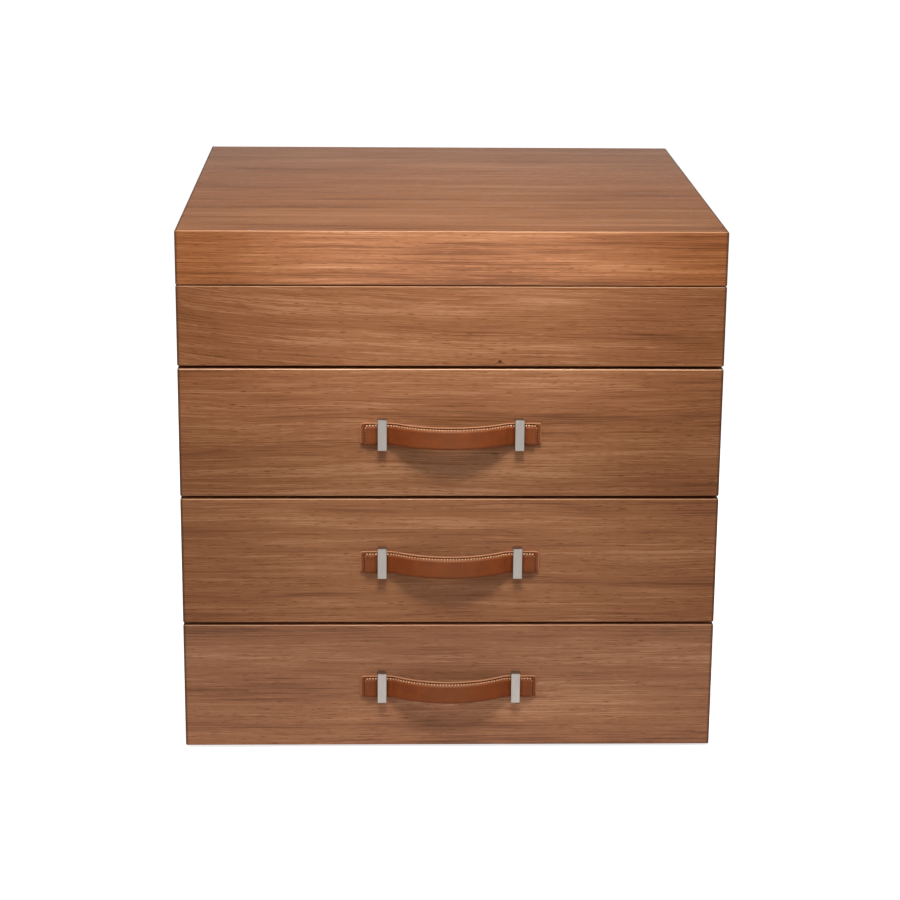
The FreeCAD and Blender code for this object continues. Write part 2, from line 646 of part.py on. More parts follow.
def strap_shape():
    """The strap, turned out of each loop by a short bend into one long bow, then given its height."""
    half = number("strap_length / 2")
    bend = number("loop_spacing / 2 - loop_width / 2 - strap_straight")
    bow = number("strap_bow")
    radius = number("strap_bend_radius")
    turn = 2 * math.atan2(bow, bend)
    middle_line = number(f"{FRONT} - strap_thickness / 2")
    low = number(f"{LOOP_MIDDLE} - strap_height / 2")
    high = number("strap_height")

    def spot(across, out):
        return FreeCAD.Vector(across, middle_line - out, low)

    def long_side(out):
        """The edges of one face of the strap, which lies this far out from its middle line."""
        rise = [
            spot(-bend + (radius - out) * math.sin(angle), radius - (radius - out) * math.cos(angle))
            for angle in (0, turn / 2, turn)
        ]
        fall = [FreeCAD.Vector(-point.x, point.y, point.z) for point in rise]
        return [
            Part.LineSegment(spot(-half, out), rise[0]).toShape(),
            Part.Arc(*rise).toShape(),
            Part.Arc(rise[2], spot(0, bow + out), fall[2]).toShape(),
            Part.Arc(*reversed(fall)).toShape(),
            Part.LineSegment(fall[0], spot(half, out)).toShape(),
        ]

    out = number("strap_thickness / 2")
    ends = [Part.LineSegment(spot(x, out), spot(x, -out)).toShape() for x in (-half, half)]
    outline = Part.Wire(Part.__sortEdges__(long_side(out) + long_side(-out) + ends))
    strap = Part.Face(outline).extrude(FreeCAD.Vector(0, 0, high))

    def steps_only_along(edge, axis):
        """Whether the edge's two ends differ in this coordinate alone."""
        step = edge.Vertexes[-1].Point - edge.Vertexes[0].Point
        return all(abs(getattr(step, other)) < TOUCHING for other in "xyz" if other != axis)

    def joins_bends(edge):
        """Whether the edge lies between two stretches of one face, away from the strap's ends."""
        return steps_only_along(edge, "z") and abs(edge.Vertexes[0].X) < half - TOUCHING

    corners = [edge for edge in strap.Edges if steps_only_along(edge, "y")]
    strap = strap.makeFillet(number("strap_corner_radius"), corners)
    rims = [edge for edge in strap.Edges if not steps_only_along(edge, "y") and not joins_bends(edge)]
    return strap.makeFillet(number("strap_edge_radius"), rims)


strap = doc.addObject("Part::Feature", "strap")
strap.Shape = strap_shape()

# Boards of one drawer.
show_front = eased_board(
    "show_front_blank", ("-width / 2", FRONT, "0"), ("width", "front_thickness", "drawer_front_height"),
)
# The lower screws clear the drawer bottom, and the upper ones stand a set height over them.
front_screw_low = f"({BOTTOM_LOW} + drawer_bottom_thickness + front_screw_margin + front_screw_head)"
front_screw_spots = [
    (x, BOX_INSIDE_FRONT, z)
    for x in ("-front_screw_spread / 2", "front_screw_spread / 2")
    for z in (front_screw_low, f"{front_screw_low} + front_screw_rise")
]
front_screws = row_of("front_screw_row", screw("front_screw"), front_screw_spots, ALONG_Y)
front_holes = row_of("front_hole_row", screw("front_screw", True), front_screw_spots, ALONG_Y)
cross_board_size = (f"2 * {BOX_HALF}", "drawer_wall", "drawer_box_height")
inner_front = box("inner_front_board", (f"-{BOX_HALF}", INSIDE_FRONT, BOX_LOW), cross_board_size)
drawer_back = box(
    "back_board", (f"-{BOX_HALF}", f"{BOX_BACK} - drawer_wall", BOX_LOW), cross_board_size,
)
tails = (tailed_side, tailed_other)
bottom_half = f"({pocket_half} - drawer_bottom_play)"
drawer_pieces = {
    "front": cut("show_front", show_front, stud_bores, front_holes),
    "inner_front": cut("inner_front", inner_front, *tails, bottom_pocket, stud_bores, front_holes),
    "left_side": drawer_side,
    "right_side": mirrored("drawer_other_side", drawer_side),
    "back": cut("drawer_back", drawer_back, *tails, bottom_pocket),
    "bottom": box(
        "drawer_bottom",
        (f"-{bottom_half}", f"{pocket_front} + drawer_bottom_play", BOTTOM_LOW),
        (f"2 * {bottom_half}", f"{pocket_length} - 2 * drawer_bottom_play", "drawer_bottom_thickness"),
    ),
    "front_screws": front_screws,
    "stop_pins": both_sides("stop_pins", stop_pin),
    "loops": both_sides("loops", loop),
    "loop_nuts": nuts,
    "strap": strap,
}
for piece, master in drawer_pieces.items():
    for count, copy in enumerate(at_each_drawer(f"drawer_{piece}", master), start=1):
        node(f"drawer_{count}_{piece}", copy)

doc.recompute()
failed = [thing.Name for thing in doc.Objects if {"Invalid", "Error"} & set(thing.State)]
failed += [name for name, thing in nodes.items() if thing.Shape.isNull() or not thing.Shape.isValid()]
if failed:
    raise RuntimeError(f"these objects failed: {failed}")

os.makedirs("parts", exist_ok=True)
for name, thing in nodes.items():
    thing.Shape.exportStep(f"parts/{name}.step")
    print(name, len(thing.Shape.Solids), round(thing.Shape.Volume, 1))
print(len(nodes), "nodes")
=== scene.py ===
"""A walnut chest with a lift-up lid and three drawers on padded leather pulls.

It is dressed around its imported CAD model. Metres throughout. +X is to the right as seen from the front, +Y to
the back and +Z up, as in the part's source.
"""

import math

import bpy
from mathutils import Matrix, Vector


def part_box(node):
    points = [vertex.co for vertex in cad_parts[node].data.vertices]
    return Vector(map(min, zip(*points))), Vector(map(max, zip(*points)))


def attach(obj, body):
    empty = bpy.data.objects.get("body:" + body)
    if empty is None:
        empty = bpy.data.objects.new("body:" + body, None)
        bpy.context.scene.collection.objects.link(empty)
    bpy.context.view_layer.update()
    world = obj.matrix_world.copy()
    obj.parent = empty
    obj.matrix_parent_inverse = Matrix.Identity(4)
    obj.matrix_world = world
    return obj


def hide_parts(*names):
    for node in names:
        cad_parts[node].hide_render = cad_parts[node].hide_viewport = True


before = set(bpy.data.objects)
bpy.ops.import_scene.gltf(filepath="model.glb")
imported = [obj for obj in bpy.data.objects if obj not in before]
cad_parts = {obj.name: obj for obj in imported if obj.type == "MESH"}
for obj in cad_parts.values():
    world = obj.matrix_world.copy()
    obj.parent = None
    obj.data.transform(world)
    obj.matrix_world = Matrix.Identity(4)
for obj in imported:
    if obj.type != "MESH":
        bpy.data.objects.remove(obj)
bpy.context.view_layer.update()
scene = bpy.context.scene
scene.view_settings.view_transform = "Standard"

MM = 0.001
# Counted from the top.
DRAWERS = (1, 2, 3)
WHITE = (1.0, 1.0, 1.0, 1.0)


# Nodes

# Sockets of the colour form of the Mix node, which shares their names with its other forms.
MIX_A = 6
MIX_B = 7
MIX_RESULT = 2


def put(tree, kind, values=None, **settings):
    """A new node; values are sockets to link into its inputs, or what these inputs are set to."""
    made = tree.nodes.new(kind)
    for name, setting in settings.items():
        setattr(made, name, setting)
    for key, value in (values or {}).items():
        if isinstance(value, bpy.types.NodeSocket):
            tree.links.new(value, made.inputs[key])
        else:
            made.inputs[key].default_value = value
    return made


def maths(tree, operation, *values, clamp=False):
    """The result of a Math node."""
    made = put(tree, "ShaderNodeMath", dict(enumerate(values)), operation=operation, use_clamp=clamp)
    return made.outputs[0]


def rising(tree, value, least, rise):
    """A result that is least where the value is 0, and higher by rise where it is 1."""
    return maths(tree, "MULTIPLY_ADD", value, rise, least)


def vector_maths(tree, operation, *values):
    """The vector that a Vector Math node gives."""
    return put(tree, "ShaderNodeVectorMath", dict(enumerate(values)), operation=operation).outputs[0]


def cosine(tree, first, second):
    """How far two directions agree: 1 where they are the same and 0 where they are square."""
    made = put(tree, "ShaderNodeVectorMath", {0: first, 1: second}, operation="DOT_PRODUCT")
    return made.outputs["Value"]


def split(tree, place):
    """The X, Y and Z of a place."""
    return put(tree, "ShaderNodeSeparateXYZ", {0: place}).outputs


def joined(tree, x, y, z):
    """The vector with these three parts."""
    return put(tree, "ShaderNodeCombineXYZ", {0: x, 1: y, 2: z}).outputs[0]


def ranged(tree, value, low, high, start=0.0, end=1.0):
    """A result eased from start to end as the value goes from low to high."""
    values = {"Value": value, "From Min": low, "From Max": high, "To Min": start, "To Max": end}
    return put(tree, "ShaderNodeMapRange", values, interpolation_type="SMOOTHSTEP").outputs[0]


def mixed(tree, share, first, second, blend="MIX"):
    """Two colours mixed by a share from 0 to 1."""
    values = {0: share, MIX_A: first, MIX_B: second}
    return put(tree, "ShaderNodeMix", values, data_type="RGBA", blend_type=blend).outputs[MIX_RESULT]


def toned(colour, tone, grey=0.0):
    """The colour made greyer, or richer below 0, then lighter or darker."""
    return tuple((part + grey) * tone for part in colour[:3]) + (1.0,)


def varied(tree, share, colour, tones):
    """The colour, from the first of two tones of it to the second."""
    first, second = tones
    return mixed(tree, share, toned(colour, first), toned(colour, second))


def stretched(tree, place, along, across):
    """The place counted in marks of this length along the grain and this width across it."""
    return vector_maths(tree, "MULTIPLY", place, (1 / along, 1 / across, 1 / across))


def noise(tree, place, detail=2.0, roughness=0.5):
    """Soft noise, 0 to 1, with one mark to each unit of the place."""
    values = {"Vector": place, "Scale": 1.0, "Detail": detail, "Roughness": roughness}
    return put(tree, "ShaderNodeTexNoise", values).outputs["Fac"]


def speckled(tree, coordinates, size, detail=2.0, roughness=0.5):
    """Soft noise with marks of one size all ways."""
    return noise(tree, stretched(tree, coordinates["Object"], size, size), detail, roughness)


def painted(tree, name):
    """A mask that is kept on the points of the mesh."""
    return put(tree, "ShaderNodeAttribute", attribute_name=name).outputs["Fac"]


def new_group(name, inputs, outputs):
    """An empty shader group; inputs and outputs are (name, kind) or (name, kind, default)."""
    group = bpy.data.node_groups.new(name, "ShaderNodeTree")
    for direction, sockets in (("INPUT", inputs), ("OUTPUT", outputs)):
        for label, kind, *default in sockets:
            socket = group.interface.new_socket(name=label, in_out=direction, socket_type=f"NodeSocket{kind}")
            if default:
                socket.default_value = default[0]
    return group, group.nodes.new("NodeGroupInput").outputs, group.nodes.new("NodeGroupOutput")


def finish_group(group, out, results):
    """Link the results to the group's outputs."""
    for label, socket in results.items():
        group.links.new(socket, out.inputs[label])
    return group


def grouped(tree, group, values):
    """The outputs of a shader group placed in a material."""
    return put(tree, "ShaderNodeGroup", values, node_tree=group).outputs


def new_material(name, **shader_values):
    """A material and its tree, with plain values on its shader; keys use _ for the spaces in socket names."""
    material = bpy.data.materials.new(name)
    material.use_nodes = True
    tree = material.node_tree
    shader = tree.nodes["Principled BSDF"]
    for key, value in shader_values.items():
        shader.inputs[key.replace("_", " ")].default_value = value
    coordinates = tree.nodes.new("ShaderNodeTexCoord").outputs
    return material, tree, shader, coordinates


def apply_finish(tree, shader, colour, roughness, height, depth):
    """Give the shader its colour, its roughness and a relief of this depth."""
    relief = put(tree, "ShaderNodeBump", {"Height": height, "Distance": depth, "Strength": 1.0}).outputs[0]
    for label, socket in (("Base Color", colour), ("Roughness", roughness), ("Normal", relief)):
        tree.links.new(socket, shader.inputs[label])


# Effects that several finishes share

# Marks in timber: their length along the grain and their width across it.
WANDER_SIZE = (0.16, 0.045)
CLOUD_SIZE = (0.22, 0.035)
FIBRE_SIZE = (0.06, 0.0009)
FLECK_SIZE = (0.012, 0.0007)
PORE_SIZE = (0.008, 0.0006)
BAND_LENGTH = 0.36
# Flecks are read from another place than pores, so that they don't fall together.
FLECK_SHIFT = (0.37, 0.11, 0.23)
# Where in their noise flecks and pores begin and are full. Pores are faintest in the dark bands.
FLECK_RANGE = (0.6, 0.74)
PORE_RANGE = (0.6, 0.72)
PORE_BAND_RANGE = (0.35, 0.6)
PORE_LEAST = 0.4
# How far the marks swing the tone, and how high the fibres stand against the depth of a pore.
CLOUD_SWING = 0.65
BAND_SWING = 0.62
FIBRE_SWING = 0.9
FLECK_LIFT = 0.14
PORE_DARKNESS = 0.65
FIBRE_HEIGHT = 0.35
# Half the length of the chest's boards, and how far slanting lines run before they level out.
BOARD_HALF = 0.19
SLANT_RUN = 0.1


def timber_figure():
    """Bands, fibres and pores of a board whose grain runs along the X of the given place."""
    group, given, out = new_group(
        "Timber figure",
        [
            ("Place", "Vector"), ("Cut from", "Vector"),
            ("Slant", "Float", 0.0), ("Slant start", "Float", BOARD_HALF), ("Slant run", "Float", SLANT_RUN),
            ("Sway", "Float", 0.003), ("Band width", "Float", 0.006),
            ("Contrast", "Float", 1.0), ("Pores", "Float", 1.0),
            ("Dark", "Color"), ("Middle", "Color"), ("Light", "Color"), ("Pore colour", "Color"),
        ],
        [("Colour", "Color"), ("Pores", "Float"), ("Height", "Float")],
    )
    # Each board is cut from its own part of the log, so that no two have the same figure.
    place = vector_maths(group, "ADD", given["Place"], given["Cut from"])
    along, across, deep = split(group, place)
    # Lines that come in at a slant from the left-hand end and level out within the run.
    from_end = maths(group, "ADD", split(group, given["Place"])[0], given["Slant start"])
    fading = maths(group, "DIVIDE", from_end, maths(group, "MULTIPLY", given["Slant run"], -1.0))
    rise = maths(group, "MULTIPLY", given["Slant"], given["Slant run"])
    slanting = maths(group, "MULTIPLY", rise, maths(group, "EXPONENT", fading))
    # The whole figure wanders a little across the grain.
    wander = maths(group, "SUBTRACT", noise(group, stretched(group, place, *WANDER_SIZE)), 0.5)
    swayed = maths(group, "MULTIPLY_ADD", wander, given["Sway"], maths(group, "ADD", across, slanting))
    lines = joined(group, along, swayed, deep)

    clouds = noise(group, stretched(group, lines, *CLOUD_SIZE))
    band = maths(group, "DIVIDE", 1.0, given["Band width"])
    narrow = joined(group, 1 / BAND_LENGTH, band, band)
    bands = noise(group, vector_maths(group, "MULTIPLY", lines, narrow), detail=3.0, roughness=0.62)
    fibres = noise(group, stretched(group, lines, *FIBRE_SIZE), roughness=0.6)
    elsewhere = vector_maths(group, "ADD", lines, FLECK_SHIFT)
    flecks = ranged(group, noise(group, stretched(group, elsewhere, *FLECK_SIZE), detail=1.0), *FLECK_RANGE)
    fullness = ranged(group, bands, *PORE_BAND_RANGE, PORE_LEAST, 1.0)
    dashes = ranged(group, noise(group, stretched(group, lines, *PORE_SIZE), detail=1.0), *PORE_RANGE)
    pores = maths(group, "MULTIPLY", maths(group, "MULTIPLY", dashes, fullness), given["Pores"], clamp=True)

    def swing(value, amount):
        """The value about its middle, times an amount."""
        return maths(group, "MULTIPLY", maths(group, "SUBTRACT", value, 0.5), amount)

    tone = maths(group, "ADD", swing(clouds, CLOUD_SWING), swing(bands, BAND_SWING))
    tone = maths(group, "ADD", tone, swing(fibres, FIBRE_SWING))
    tone = rising(group, flecks, tone, FLECK_LIFT)
    tone = maths(group, "MULTIPLY_ADD", tone, given["Contrast"], 0.5, clamp=True)
    lower = mixed(group, ranged(group, tone, 0.0, 0.5), given["Dark"], given["Middle"])
    colour = mixed(group, ranged(group, tone, 0.5, 1.0), lower, given["Light"])
    colour = mixed(group, maths(group, "MULTIPLY", pores, PORE_DARKNESS), colour, given["Pore colour"])
    height = maths(group, "SUBTRACT", maths(group, "MULTIPLY", fibres, FIBRE_HEIGHT), pores)
    return finish_group(group, out, {"Colour": colour, "Pores": pores, "Height": height})


# How squarely a surface faces along an axis where an edge, a cut end and the corner beside it begin, and
# where they are full.
EDGE_RANGE = (0.97, 0.75)
END_RANGE = (0.8, 0.97)
CORNER_RANGE = (0.12, 0.5)


def eased_edges():
    """1 on the rounded edges of a squared piece, where it faces between two axes, and 0 on its flats."""
    group, given, out = new_group("Eased edges", [("Facing", "Vector")], [("Edge", "Float")])
    x, y, z = split(group, vector_maths(group, "ABSOLUTE", given["Facing"]))
    most = maths(group, "MAXIMUM", maths(group, "MAXIMUM", x, y), z)
    return finish_group(group, out, {"Edge": ranged(group, most, *EDGE_RANGE)})


def cut_ends():
    """1 where a board shows its end grain, facing along the grain, and 1 on the rounded edges beside it."""
    group, given, out = new_group(
        "Cut ends", [("Facing", "Vector"), ("Grain", "Vector")], [("End", "Float"), ("Corner", "Float")],
    )
    facing = maths(group, "ABSOLUTE", cosine(group, given["Facing"], given["Grain"]))
    end = ranged(group, facing, *END_RANGE)
    corner = maths(group, "SUBTRACT", ranged(group, facing, *CORNER_RANGE), end, clamp=True)
    return finish_group(group, out, {"End": end, "Corner": corner})


TIMBER = timber_figure()
EDGES = eased_edges()
ENDS = cut_ends()


# Timbers

# Turns of the pattern that lay the grain along X or Y, on a board that stands upright or lies flat.
GRAIN_X_UPRIGHT = (math.pi / 2, 0.0, 0.0)
GRAIN_X_FLAT = (0.0, 0.0, 0.0)
GRAIN_Y_UPRIGHT = (math.pi / 2, 0.0, math.pi / 2)
ALONG_X = (1.0, 0.0, 0.0)
ALONG_Y = (0.0, 1.0, 0.0)
GRAIN_AXIS = {GRAIN_X_UPRIGHT: ALONG_X, GRAIN_X_FLAT: ALONG_X, GRAIN_Y_UPRIGHT: ALONG_Y}

# Colours of the timbers' figure, by the names of the group's inputs.
WALNUT = {
    "Dark": (0.185, 0.068, 0.028, 1.0),
    "Middle": (0.345, 0.139, 0.059, 1.0),
    "Light": (0.500, 0.238, 0.118, 1.0),
    "Pore colour": (0.125, 0.030, 0.004, 1.0),
}
PALE = {
    "Dark": (0.430, 0.255, 0.130, 1.0),
    "Middle": (0.560, 0.370, 0.210, 1.0),
    "Light": (0.660, 0.470, 0.290, 1.0),
    "Pore colour": (0.330, 0.190, 0.095, 1.0),
}
# Painted highlights make the upper edges pale, where light from above catches them, and one paler still.
# Cut ends are dark, and painted shade darkens the corners beside them.
WALNUT_EDGE_HIGHLIGHT = (0.680, 0.390, 0.225, 1.0)
WALNUT_PALEST_EDGE_HIGHLIGHT = (0.950, 0.620, 0.400, 1.0)
WALNUT_END = (0.170, 0.066, 0.030, 1.0)
WALNUT_CORNER_SHADE = (0.050, 0.018, 0.008, 1.0)
CORNER_SHADE_DARKNESS = 0.95
# How far a surface faces up where the painted highlight on its edge begins, and where it is strongest.
HIGHLIGHT_UPWARD_RANGE = (0.1, 0.5)
# Painted shade: what is taken from the colour towards the two ends of a board, which less light reaches.
WALNUT_END_SHADE = (0.610, 0.490, 0.340, 1.0)
END_SHADE_FROM = 0.05
# Painted shade: a dark line on the last of a long board before its ends, where its side-facing edge is in
# shade.
TIP_SHADE_RANGE = (0.1879, 0.1888)
TIP_SHADE_DARKNESS = 0.6
# The open pores of a cut end, and how they vary its tone.
END_SPECK = 0.0008
END_TONES = (0.55, 1.35)

# Gloss of the timbers: what they mirror, how rough they are, and how deep their relief is.
WALNUT_SHINE = 0.08
WALNUT_ROUGHNESS = 0.13
WALNUT_PORE_ROUGHNESS = 0.1
WALNUT_CUT_ROUGHNESS = 0.4
WALNUT_RELIEF = 0.000015
PALE_SHINE = 0.2
PALE_ROUGHNESS = 0.55
PALE_PORE_ROUGHNESS = 0.15
PALE_RELIEF = 0.00003
PALE_END_TONE = 0.8

# A pin knot with two veins that run down from it. Each pair says how far away it ends and where it is full.
KNOT = (0.060, 0.013, 0.002, 1.0)
KNOT_HEART = (0.0018, 0.0006)
KNOT_DARKNESS = 0.9
VEIN_SLOPE = 0.45
VEIN_HALF = (0.0009, 0.0002)
VEIN_REACH = (0.0055, 0.001)
VEIN_DARKNESS = 0.6
# Just above the lower edge of the upper front, right of its middle.
KNOT_PLACE = Vector((0.0337, 0.0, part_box("upper_front")[0][2] + 0.0034))


def toned_figure(colours, tone, grey=0.0):
    """The colours of a timber's figure, all made greyer or lighter alike."""
    return {label: toned(colour, tone, grey) for label, colour in colours.items()}


def grain_place(tree, coordinates, turn):
    """Where a point lies along and across the board's grain."""
    values = {"Vector": coordinates["Object"], "Rotation": turn}
    return put(tree, "ShaderNodeMapping", values, vector_type="TEXTURE").outputs[0]


def end_grain(tree, coordinates, colour):
    """The colour with the fine open pores of a cut end."""
    return varied(tree, speckled(tree, coordinates, END_SPECK), colour, END_TONES)


def knotted(tree, coordinates, colour, place):
    """The colour with a pin knot at a place on the board's face, and its two veins."""
    x, _, z = split(tree, vector_maths(tree, "SUBTRACT", coordinates["Object"], place))
    beside = maths(tree, "ABSOLUTE", x)
    from_vein = maths(tree, "ABSOLUTE", maths(tree, "MULTIPLY_ADD", beside, VEIN_SLOPE, z))
    reach = ranged(tree, beside, *VEIN_REACH, 0.0, VEIN_DARKNESS)
    veins = maths(tree, "MULTIPLY", ranged(tree, from_vein, *VEIN_HALF), reach)
    from_heart = maths(tree, "SQRT", maths(tree, "MULTIPLY_ADD", x, x, maths(tree, "MULTIPLY", z, z)))
    heart = ranged(tree, from_heart, *KNOT_HEART, 0.0, KNOT_DARKNESS)
    return mixed(tree, maths(tree, "MAXIMUM", veins, heart), colour, KNOT)


def walnut(name, turn, cut, slant=0.0, sway=0.004, band=0.006, contrast=1.6, tone=1.0, grey=0.0, end_shade=0.2,
           knot=None, shaded=None, highlight_colour=WALNUT_EDGE_HIGHLIGHT, highlight_share=0.7):
    """Lacquered walnut veneer.

    cut is where in the log it comes from, end_shade how far painted shade darkens its two ends, and shaded
    how far painted shade makes it darker or lighter from one height to another: (low, high, lowest, highest).
    """
    material, tree, shader, coordinates = new_material(name, Specular_IOR_Level=WALNUT_SHINE)
    place = grain_place(tree, coordinates, turn)
    figure = grouped(tree, TIMBER, {
        "Place": place, "Cut from": cut, "Slant": slant, "Sway": sway, "Band width": band,
        "Contrast": contrast, **toned_figure(WALNUT, tone, grey),
    })
    # Painted shade: the board is darkened towards its two ends.
    from_middle = maths(tree, "ABSOLUTE", split(tree, place)[0])
    end_shading = ranged(tree, from_middle, END_SHADE_FROM, BOARD_HALF, 0.0, end_shade)
    colour = mixed(tree, end_shading, figure["Colour"], WALNUT_END_SHADE, "MULTIPLY")
    # Painted shade: the board is made darker or lighter from one height to another.
    if shaded:
        low, high, lowest, highest = shaded
        level = ranged(tree, split(tree, coordinates["Object"])[2], low, high)
        colour = mixed(tree, 1.0, colour, varied(tree, level, WHITE, (lowest, highest)), "MULTIPLY")
    if knot:
        colour = knotted(tree, coordinates, colour, knot)
    # Painted highlight: only the edges that face up are made pale, where light from above catches them.
    edge = grouped(tree, EDGES, {"Facing": coordinates["Normal"]})["Edge"]
    upward_highlight = ranged(tree, split(tree, coordinates["Normal"])[2], *HIGHLIGHT_UPWARD_RANGE, 0.0, highlight_share)
    colour = mixed(tree, maths(tree, "MULTIPLY", edge, upward_highlight), colour, highlight_colour)
    ends = grouped(tree, ENDS, {"Facing": coordinates["Normal"], "Grain": GRAIN_AXIS[turn]})
    colour = mixed(tree, ends["End"], colour, end_grain(tree, coordinates, toned(WALNUT_END, tone)))
    # Painted shade: the corners beside the cut ends, and a line just before the ends of a long board, are
    # darkened.
    dark = ends["Corner"]
    if GRAIN_AXIS[turn] == ALONG_X:
        dark = maths(tree, "MAXIMUM", dark, ranged(tree, from_middle, *TIP_SHADE_RANGE, 0.0, TIP_SHADE_DARKNESS))
    dark = maths(tree, "MULTIPLY", dark, maths(tree, "SUBTRACT", CORNER_SHADE_DARKNESS, ends["End"]), clamp=True)
    colour = mixed(tree, dark, colour, WALNUT_CORNER_SHADE)
    dull = rising(tree, figure["Pores"], WALNUT_ROUGHNESS, WALNUT_PORE_ROUGHNESS)
    dull = rising(tree, maths(tree, "ADD", ends["End"], ends["Corner"]), dull, WALNUT_CUT_ROUGHNESS)
    apply_finish(tree, shader, colour, dull, figure["Height"], WALNUT_RELIEF)
    return material


def pale_timber(name, turn, cut, tone=1.0):
    """Plain waxed timber of a drawer box, a runner or a dowel, with its end grain on the cut ends."""
    material, tree, shader, coordinates = new_material(name, Specular_IOR_Level=PALE_SHINE)
    figure = grouped(tree, TIMBER, {
        "Place": grain_place(tree, coordinates, turn), "Cut from": cut, "Sway": 0.006, "Band width": 0.009,
        "Contrast": 0.9, "Pores": 0.5, **toned_figure(PALE, tone),
    })
    end = grouped(tree, ENDS, {"Facing": coordinates["Normal"], "Grain": GRAIN_AXIS[turn]})["End"]
    cut_colour = end_grain(tree, coordinates, toned(PALE["Dark"], PALE_END_TONE * tone))
    colour = mixed(tree, end, figure["Colour"], cut_colour)
    dull = rising(tree, figure["Pores"], PALE_ROUGHNESS, PALE_PORE_ROUGHNESS)
    apply_finish(tree, shader, colour, dull, figure["Height"], PALE_RELIEF)
    return material


# Metals, leather, thread and felt

NICKEL = (0.41, 0.375, 0.345, 1.0)
STEEL = (0.42, 0.41, 0.40, 1.0)
# Painted shade: the filed edges and bends are darkened, for the shaded wood they mirror, and duller than the
# faces.
EDGE_SHADE_TONE = 0.25
EDGE_SHADE_SHARE = 0.85
EDGE_DULLNESS = 0.25
STROKE_TONES = (0.88, 1.08)
STROKE_ROUGHNESS = 0.08
METAL_PATCH = 0.006
PATCH_ROUGHNESS = 0.12
METAL_RELIEF = 0.000012
# The middle of a noise, spread over the whole of a change in tone.
MIDDLE_RANGE = (0.25, 0.75)


def satin_metal(name, colour, roughness, brush):
    """Brushed metal; brush is the length of its strokes along each axis."""
    material, tree, shader, coordinates = new_material(name, Metallic=1.0)
    strokes = noise(tree, vector_maths(tree, "DIVIDE", coordinates["Object"], brush), roughness=0.6)
    patch = speckled(tree, coordinates, METAL_PATCH)
    brushed = varied(tree, ranged(tree, strokes, *MIDDLE_RANGE), colour, STROKE_TONES)
    # Painted shade on the edges and bends, which are also made duller.
    edge = grouped(tree, EDGES, {"Facing": coordinates["Normal"]})["Edge"]
    metal_edge_shade = maths(tree, "MULTIPLY", edge, EDGE_SHADE_SHARE)
    metal_edge_shaded = mixed(tree, metal_edge_shade, brushed, toned(colour, EDGE_SHADE_TONE))
    dull = rising(tree, patch, roughness - PATCH_ROUGHNESS / 2, PATCH_ROUGHNESS)
    dull = rising(tree, strokes, dull, STROKE_ROUGHNESS)
    dull = rising(tree, edge, dull, EDGE_DULLNESS)
    apply_finish(tree, shader, metal_edge_shaded, dull, strokes, METAL_RELIEF)
    return material


LEATHER_FACE = (0.212, 0.045, 0.007, 1.0)
LEATHER_DEEP = (0.095, 0.022, 0.007, 1.0)
# Painted highlight colour of the shoulder, the tabs and the middle of the bow.
LEATHER_HIGHLIGHT = (0.440, 0.200, 0.100, 1.0)
# Paler colour of the cut edge, which also stands for a painted highlight where it faces up.
LEATHER_EDGE_AND_HIGHLIGHT = (0.560, 0.270, 0.140, 1.0)
LEATHER_SHINE = 0.12
LEATHER_ROUGHNESS = 0.36
LEATHER_RELIEF = 0.00006
HIDE_CLOUD = 0.009
HIDE_TONES = (0.86, 1.14)
# The grain is of pebbles, this many to the metre, with hollows between them.
PEBBLES = 1700.0
PEBBLE_RANGE = (0.15, 0.75)
HOLLOW_DARKNESS = 0.28
HOLLOW_DEPTH = 0.6
WRINKLE = 0.0016
WRINKLE_ROUGHNESS = 0.16
CREASE_SHADE_DARKNESS = 0.85
HIGHLIGHT_PALENESS = 0.5


def leather():
    """Cognac leather with a fine grain, painted shade in its crease and fold, painted highlights and a pale cut
    edge.
    """
    material, tree, shader, coordinates = new_material("cognac leather", Specular_IOR_Level=LEATHER_SHINE)
    clouds = speckled(tree, coordinates, HIDE_CLOUD, detail=3.0)
    pebbled = {"Vector": coordinates["Object"], "Scale": PEBBLES, "Randomness": 1.0}
    pebbles = put(tree, "ShaderNodeTexVoronoi", pebbled, feature="SMOOTH_F1").outputs["Distance"]
    hollows = ranged(tree, pebbles, *PEBBLE_RANGE)
    wrinkles = speckled(tree, coordinates, WRINKLE, detail=3.0, roughness=0.6)
    colour = varied(tree, ranged(tree, clouds, *MIDDLE_RANGE), LEATHER_FACE, HIDE_TONES)
    colour = mixed(tree, maths(tree, "MULTIPLY", hollows, HOLLOW_DARKNESS), colour, LEATHER_DEEP)
    # Painted shade in the crease and under the fold.
    crease_shade = maths(tree, "MULTIPLY", painted(tree, "painted_shade"), CREASE_SHADE_DARKNESS)
    colour = mixed(tree, crease_shade, colour, LEATHER_DEEP)
    # Painted highlight on the shoulder, the tabs and the middle of the bow.
    highlighted = maths(tree, "MULTIPLY", painted(tree, "painted_highlight"), HIGHLIGHT_PALENESS)
    colour = mixed(tree, highlighted, colour, LEATHER_HIGHLIGHT)
    # The cut edge is paler leather, and also a painted highlight where it faces up.
    colour = mixed(tree, painted(tree, "cut_edge"), colour, LEATHER_EDGE_AND_HIGHLIGHT)
    dull = rising(tree, wrinkles, LEATHER_ROUGHNESS, WRINKLE_ROUGHNESS)
    apply_finish(tree, shader, colour, dull, rising(tree, hollows, wrinkles, -HOLLOW_DEPTH), LEATHER_RELIEF)
    return material


THREAD = (0.880, 0.480, 0.250, 1.0)
THREAD_SHINE = 0.1
THREAD_FUZZ = 0.00025
THREAD_TONES = (0.75, 1.15)
THREAD_ROUGHNESS = 0.45
THREAD_FUZZ_ROUGHNESS = 0.2
THREAD_RELIEF = 0.00004
# Painted shade: how far a stitch that is drawn in deep is darkened to the leather's colour.
END_STITCH_SHADE = 0.8


